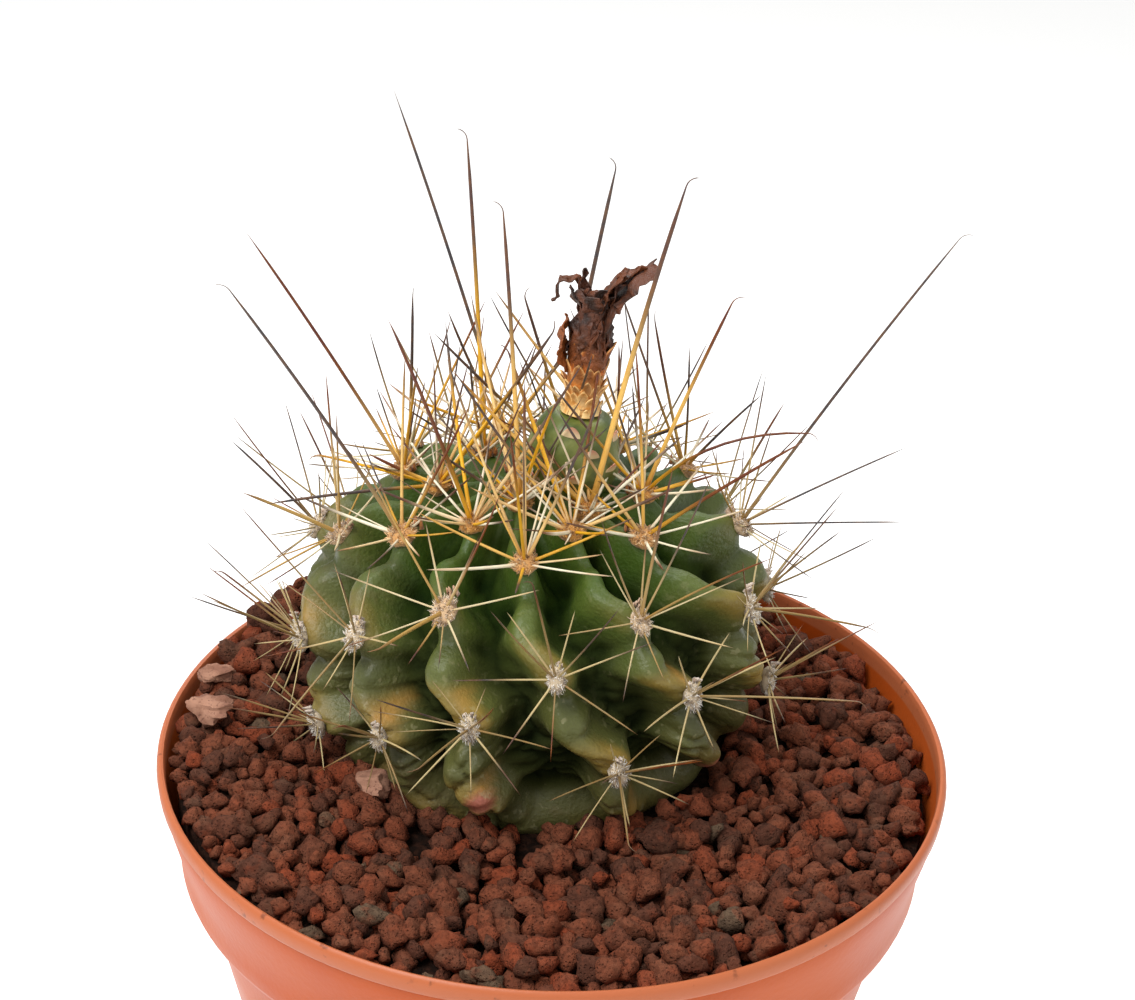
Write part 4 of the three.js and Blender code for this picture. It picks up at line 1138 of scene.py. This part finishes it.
def makeFelt(mottle, sites):
    hair = needleMaster(3, 3)
    masters = [feltMaster(kind, hair) for kind in range(felt["kinds"])]
    tufts = []
    spots = [(site, 1.0) for site in sites]
    for i in range(felt["apex"]):
        # woolly buds at the very top
        top = areoleSite((i * 5) % ribs["count"], 0)
        spread = 5.5 * math.sqrt(i / felt["apex"])
        level = outlineAt(spread)[1] - stem["crownDip"] * 0.8
        up = Vector((0, 0, 1))
        bud = {"place": Vector((spread * math.cos(i * 2.4), spread * math.sin(i * 2.4), level)), "way": 0.0,
               "normal": up, "side": top["side"], "upward": up.cross(top["side"])}
        spots.append((bud, 0.8))
    for number, (site, size) in enumerate(spots):
        master = masters[number % len(masters)]
        age = float(smooth(18, 50, site["way"]))
        size *= 1 + 0.2 * (chance(number, 5) - 0.5)
        turn = Matrix((site["side"], site["upward"], site["normal"])).transposed().to_4x4()
        # an old cushion is narrower, and longer up the rib
        widths = size * (1.02 - 0.36 * age), size * (0.92 + 0.08 * age), size * (1 - 0.2 * age), 1
        place = (Matrix.Translation(site["place"] + site["normal"] * felt["lift"]) @ turn
                 @ Matrix.Diagonal(widths))
        tuft = copyOf(master, "tuft", moved(getPlaces(master.data), plantMatrix @ place) * mm, age=age)
        nubs = np.empty(len(tuft.data.vertices), np.float32)
        tuft.data.attributes["nub"].data.foreach_get("value", nubs)
        setAttribute(tuft.data, "nub", nubs * (1 - 0.75 * age))
        tufts.append(tuft)
    putInFrame(joined(tufts, "areoleFelt"), areoleFelt(mottle), [])
    for master in [hair, *masters]:
        bpy.data.objects.remove(master)
    print("felt done")


# the fruit and its dried flower stand on each other, in frames of their own

fruit = {
    "base": (6.6, 0.0, 41.0), "top": (9.2, 0.0, 56.4), "room": 11.2,
    "side": [(3.4, -3.0), (5.6, 0.0), (7.5, 3.2), (8.3, 6.2), (8.3, 8.2), (7.8, 10.6), (6.8, 13.0),
             (5.8, 14.6), (4.8, 15.5), (3.0, 15.7)],
    "segments": 64, "rings": 40, "scales": 21, "scaleFrom": 1.8, "scaleTo": 14.0, "scaleHalf": 1.35,
    "scaleTall": 1.5, "scaleThick": 0.3, "green": (76, 92, 34), "pale": (120, 128, 62), "dark": (38, 56, 20),
    "scale": (232, 204, 160), "scaleTip": (204, 134, 108),
    "patches": (240, 0.35, 0.7), "grain": (1500, 0.2, 0.8),
}


def standingFrame(base, top):
    axis = Vector(top) - Vector(base)
    turn = Vector((0, 0, 1)).rotation_difference(axis).to_matrix().to_4x4()
    return plantMatrix @ Matrix.Translation(base) @ turn


def aroundAxis(out, aside, turn, rise):
    # places of a leaf's points from how far they lie out from the axis, sideways and up it
    return np.transpose([out * np.cos(turn) - aside * np.sin(turn), out * np.sin(turn) + aside * np.cos(turn),
                         rise])


def turnedBody(name, side, segments, rings):
    # a ball drawn out along a list of radius and height, closed at both ends
    body = addPrimitive(bpy.ops.mesh.primitive_uv_sphere_add, name, segments=segments, ring_count=rings,
                        radius=1)
    ball = getPlaces(body.data)
    share = 1 - np.arccos(np.clip(ball[:, 2], -1, 1)) / math.pi
    radii, heights = np.transpose(side)
    steps = np.append(0, np.cumsum(np.hypot(np.diff(radii), np.diff(heights))))
    rounder = np.linspace(0, steps[-1], 60)
    curve = [np.convolve(np.pad(np.interp(rounder, steps, values), 2, "edge"), np.ones(5) / 5, "valid")
             for values in (radii, heights)]
    radius, height = (np.interp(share * steps[-1], rounder, values) for values in curve)
    radius = radius * (smooth(0, 0.03, share) * smooth(1, 0.97, share))
    angle = np.arctan2(ball[:, 1], ball[:, 0])
    return body, radius, height, angle


def leafMaster(columns, rows, name):
    # a flat sheet, x from -1 to 1 and y from 0 to 1, bent into scales and petals later
    sheet = addPrimitive(bpy.ops.mesh.primitive_grid_add, name, x_subdivisions=columns, y_subdivisions=rows,
                         size=2)
    places = getPlaces(sheet.data)
    setPlaces(sheet.data, places * (1, 0.5, 0) + (0, 0.5, 0))
    return sheet


def thickened(sheet, thickness):
    # works in millimetres, before the piece is taken into metres
    solid = sheet.modifiers.new("thickness", "SOLIDIFY")
    solid.thickness = thickness
    solid.offset = 0
    applyModifier(sheet, "thickness")


def berrySkin(mottle):
    material, tree, shader = newMaterial("berrySkin", 0.42)
    place = objectPlace(tree)
    patches = mask(tree, mottle, place, *fruit["patches"])
    colour = mixColours(tree, patches, fruit["green"], fruit["pale"])
    colour = mixColours(tree, attributeValue(tree, "low"), colour, fruit["dark"])
    colour = mixColours(tree, attributeValue(tree, "scale"), colour, fruit["scale"])
    colour = mixColours(tree, attributeValue(tree, "tip"), colour, fruit["scaleTip"])
    tree.links.new(colour, shader.inputs["Base Color"])
    shader.inputs["Coat Weight"].default_value = 0.15
    fine = mask(tree, mottle, place, *fruit["grain"])
    addBump(tree, shader, fine, 0.25, 0.00015)
    return material


def makeFruit(mottle):
    matrix = standingFrame(fruit["base"], fruit["top"])
    body, radius, height, angle = turnedBody("greenBerry", fruit["side"], fruit["segments"], fruit["rings"])
    radius = radius * (1 + 0.02 * np.cos(angle * 5 + height * 0.25))
    places = np.transpose([radius * np.cos(angle), radius * np.sin(angle), height])
    places += 0.12 * cloud(places, 2.5, 8)[:, None] * (1, 1, 0.5)
    setPlaces(body.data, places)
    setAttribute(body.data, "low", 0.6 * (1 - smooth(-1, 4, height)))
    setAttribute(body.data, "scale", 0)
    setAttribute(body.data, "tip", 0)
    parts = [body]
    leaf = leafMaster(6, 5, "scaleMaster")
    x, y = getPlaces(leaf.data)[:, :2].T
    radii, heights = np.transpose(fruit["side"])
    for i in range(fruit["scales"]):
        # half-moon scales that lean on the skin, in a spiral
        level = fruit["scaleFrom"] + (fruit["scaleTo"] - fruit["scaleFrom"]) * (i + 0.3) / fruit["scales"]
        turn = i * 2.4 + 0.5
        skin = np.interp(level, heights, radii)
        lean = (np.interp(level + 1, heights, radii) - np.interp(level - 1, heights, radii)) / 2
        size = 0.8 + 0.4 * chance(i, 8)
        width, tall = fruit["scaleHalf"] * size * (1 - 0.6 * y ** 2), fruit["scaleTall"] * size
        out = skin + lean * y * tall + 0.12 + 0.5 * y - 0.35 * x ** 2
        places = aroundAxis(out, x * width, turn, level + y * tall * (1 - 0.35 * x ** 2))
        scale = copyOf(leaf, "scale", places, low=0, scale=0.85, tip=0.9 * smooth(0.25, 1, y))
        thickened(scale, fruit["scaleThick"])
        parts.append(scale)
    berry = joined(parts, "greenBerry")
    setPlaces(berry.data, moved(getPlaces(berry.data), matrix) * mm)
    bpy.data.objects.remove(leaf)
    putInFrame(berry, berrySkin(mottle), ["fruit"], 50)
    print("fruit done")


flower = {
    "top": (13.6, 1.0, 84.5),
    "side": [(2.2, 0.2), (3.4, 0.5), (2.7, 1.5), (2.6, 3.5), (2.8, 6.5), (3.0, 9.5), (2.9, 13), (2.6, 17),
             (2.0, 20.5), (1.0, 22.5)],
    # each row of bracts: how many, the height on the tube, the length and the half width
    "bracts": [(12, 0.3, 2.2, 0.9), (12, 1.9, 2.8, 1.0), (11, 3.6, 3.6, 1.2), (9, 5.6, 4.8, 1.6),
               (7, 8.0, 5.6, 1.9)],
    "bractThick": 0.26, "petals": 13, "petalThick": 0.26,
    # one broad flap leans out to the upper right, with a folded one beside it, and a thin one curls left:
    # a path of out, turn and height, then the half width, the cup and how golden it is
    "flaps": [([(1.2, 0, 15), (2.2, 0, 20), (5.0, 4, 24.5), (9.0, 8, 28.2)], 4.0, 0.16, 0.05),
              ([(3.0, 176, 7.5), (4.4, 180, 11), (4.9, 184, 14.5), (4.0, 188, 17)], 2.3, 0.3, 1.0),
              ([(1.4, 20, 16), (2.4, 24, 21), (4.0, 10, 25.5), (6.6, 2, 27.6)], 2.2, -0.2, 0.3),
              ([(1.2, -40, 16), (1.8, -30, 21), (2.6, -20, 25.2), (4.2, -12, 26.8)], 1.8, 0.2, 0.25),
              ([(1.4, 190, 16), (2.0, 186, 21.5), (4.4, 184, 24.6), (6.8, 182, 23.2), (7.4, 180, 19.6)],
               0.75, -0.3, 0.2)],
    "gold": (232, 166, 76), "cream": (250, 214, 146), "amber": (204, 108, 20), "centre": (76, 34, 12),
    "brown": (94, 50, 28), "dark": (46, 26, 18), "orange": (204, 108, 26),
    "bractPatches": (500, 0.35, 0.65), "fibres": (1600, 0.3, 0.7), "petalPatches": (330, 0.38, 0.62),
    "spots": (260, 0.58, 0.7), "veins": (1300, 0.3, 0.7),
}


def driedBract(mottle):
    # golden scales with a brown middle and a cream edge
    material, tree, shader = newMaterial("driedBract", 0.6)
    place = objectPlace(tree)
    patches = mask(tree, mottle, place, *flower["bractPatches"])
    colour = mixColours(tree, patches, flower["gold"], flower["cream"])
    colour = mixColours(tree, attributeValue(tree, "high"), colour, flower["amber"])
    colour = mixColours(tree, attributeValue(tree, "centre"), colour, flower["centre"])
    colour = mixColours(tree, attributeValue(tree, "edge"), colour, flower["cream"])
    tree.links.new(colour, shader.inputs["Base Color"])
    fibres = mask(tree, mottle, place, *flower["fibres"])
    addBump(tree, shader, fibres, 0.5, 0.0002)
    return material


def driedPetal(mottle):
    material, tree, shader = newMaterial("driedPetal", 0.55)
    place = objectPlace(tree)
    patches = mask(tree, mottle, place, *flower["petalPatches"])
    spots = mask(tree, mottle, place, *flower["spots"])
    colour = mixColours(tree, patches, flower["dark"], flower["brown"])
    lit = maths(tree, "MULTIPLY", attributeValue(tree, "warm"), span(tree, spots, 0.0, 1.0, 0.35, 1.0))
    colour = mixColours(tree, lit, colour, flower["orange"])
    tree.links.new(colour, shader.inputs["Base Color"])
    veins = mask(tree, mottle, place, *flower["veins"])
    addBump(tree, shader, veins, 0.6, 0.0003)
    return material


def bractPlaces(x, y, turn, level, length, width, lean):
    # a pointed scale that leans out from the tube and curls at its tip
    radii, heights = np.transpose(flower["side"])
    half = width * (1 - y ** 2.2) ** 0.7
    rise = level + y * length
    out = np.interp(np.minimum(rise, 13), heights, radii) + 0.2 + lean * y ** 2 - 0.25 * (x * half) ** 2
    return aroundAxis(out, x * half, turn, rise)


def petalPlaces(x, y, number, path, width, cup):
    # a withered strip along a path of out, turn and height, with a crumpled surface
    share = np.linspace(0, 1, len(path))
    out, turn, rise = (np.interp(y, share, values) for values in np.transpose(path))
    out = out + cup * x ** 2 * width
    half = x * width * (0.75 + 0.4 * np.sin(y * math.pi) - 0.35 * y ** 3)
    places = aroundAxis(out, half, np.radians(turn), rise)
    crumple = np.transpose([cloud(places, 2.2, number * 3.0 + axis) for axis in (0.0, 20.0, 40.0)])
    crease = np.transpose([cloud(places, 0.9, number * 5.0 + axis) for axis in (0.0, 20.0, 40.0)])
    return places + (1.3 * crumple + 0.45 * crease) * (0.3 + 0.7 * smooth(0, 0.4, y))[:, None]


def makeFlowerTube(mottle, matrix):
    tube, radius, height, angle = turnedBody("flowerTube", flower["side"], 72, 60)
    ridges = 1 + 0.05 * np.cos(angle * 11 + height * 0.3)
    ridges += 0.08 * np.cos(angle * 3 + height * 0.5) * smooth(6, 14, height)
    places = np.transpose([radius * ridges * np.cos(angle), radius * ridges * np.sin(angle), height])
    rough = np.transpose([cloud(places, 1.8, seed) for seed in (11, 12, 13)])
    places += 0.5 * rough * smooth(4, 12, height)[:, None]
    setPlaces(tube.data, places)
    setAttribute(tube.data, "centre", smooth(1.2, 3, height) * 0.9)
    setAttribute(tube.data, "edge", 1 - smooth(0.6, 1.4, height))
    setAttribute(tube.data, "high", smooth(3, 7, height))
    leaf = leafMaster(6, 7, "bractMaster")
    x, y = getPlaces(leaf.data)[:, :2].T
    bracts = [tube]
    for row, (count, level, long, width) in enumerate(flower["bracts"]):
        for i in range(count):
            turn = (i + 0.5 * (row % 2)) / count * 2 * math.pi + 0.5 * chance(i, row)
            size = 0.75 + 0.5 * chance(i, row + 10)
            lean = 0.2 + 1.5 * chance(i, row + 15) ** 2
            level += 0.15 * (chance(i, row + 5) - 0.5)
            centre = (1 - np.abs(x) ** 2) * smooth(0.05, 0.5, y) * (0.25 + 0.16 * row)
            edge = np.maximum(smooth(0.7, 0.98, np.abs(x)), smooth(0.92, 1, y)) * (0.9 - 0.14 * row)
            places = bractPlaces(x, y, turn, level, long * size, width * size, lean)
            bract = copyOf(leaf, "bract", places, centre=centre, high=row / 4, edge=edge)
            thickened(bract, flower["bractThick"])
            bracts.append(bract)
    tube = joined(bracts, "flowerTube")
    setPlaces(tube.data, moved(getPlaces(tube.data), matrix) * mm)
    bpy.data.objects.remove(leaf)
    putInFrame(tube, driedBract(mottle), [], 50)


def makePetals(mottle, matrix):
    sheet = leafMaster(8, 22, "petalMaster")
    x, y = getPlaces(sheet.data)[:, :2].T
    strips = []
    for i in range(flower["petals"]):
        # the withered petals are pressed together round the tube and fray at the top
        turn = i * 360 / flower["petals"] + 20 * chance(i, 1)
        tip = 19 + 7 * chance(i, 2)
        flare = 0.6 + 3.2 * chance(i, 3) ** 2
        path = [(2.5, turn, 6.5), (3.0, turn + 6, 10.5), (2.9, turn + 14, 15), (1.9, turn + 22, 19),
                (1.8 + flare, turn + 30, tip)]
        warm = 0.9 * (1 - smooth(0.1, 0.6, y)) * smooth(0.3, 0.7, chance(i, 5))
        places = petalPlaces(x, y, i + 1, path, 1.7 + 0.5 * chance(i, 4), -0.12)
        strips.append(copyOf(sheet, "petal", places, warm=warm))
    for i, (path, width, cup, warm) in enumerate(flower["flaps"]):
        strips.append(copyOf(sheet, "flap", petalPlaces(x, y, 30 + i, path, width, cup), warm=warm))
    for strip in strips:
        thickened(strip, flower["petalThick"])
    petals = joined(strips, "witheredPetals")
    setPlaces(petals.data, moved(getPlaces(petals.data), matrix) * mm)
    bpy.data.objects.remove(sheet)
    putInFrame(petals, driedPetal(mottle), ["dried_flower"], 60)


def makeFlower(mottle):
    matrix = standingFrame(fruit["top"], flower["top"])
    makeFlowerTube(mottle, matrix)
    makePetals(mottle, matrix)
    print("dried flower done")


# build it all

setStage()
mottleGroup, poreGroup = buildMottle(), buildPores()
makePot(mottleGroup)
makeBed(mottleGroup, poreGroup)
makeStem(mottleGroup)
areoleSites = allSites()
makeSpines(mottleGroup, areoleSites)
makeFelt(mottleGroup, areoleSites)
makeFruit(mottleGroup)
makeFlower(mottleGroup)
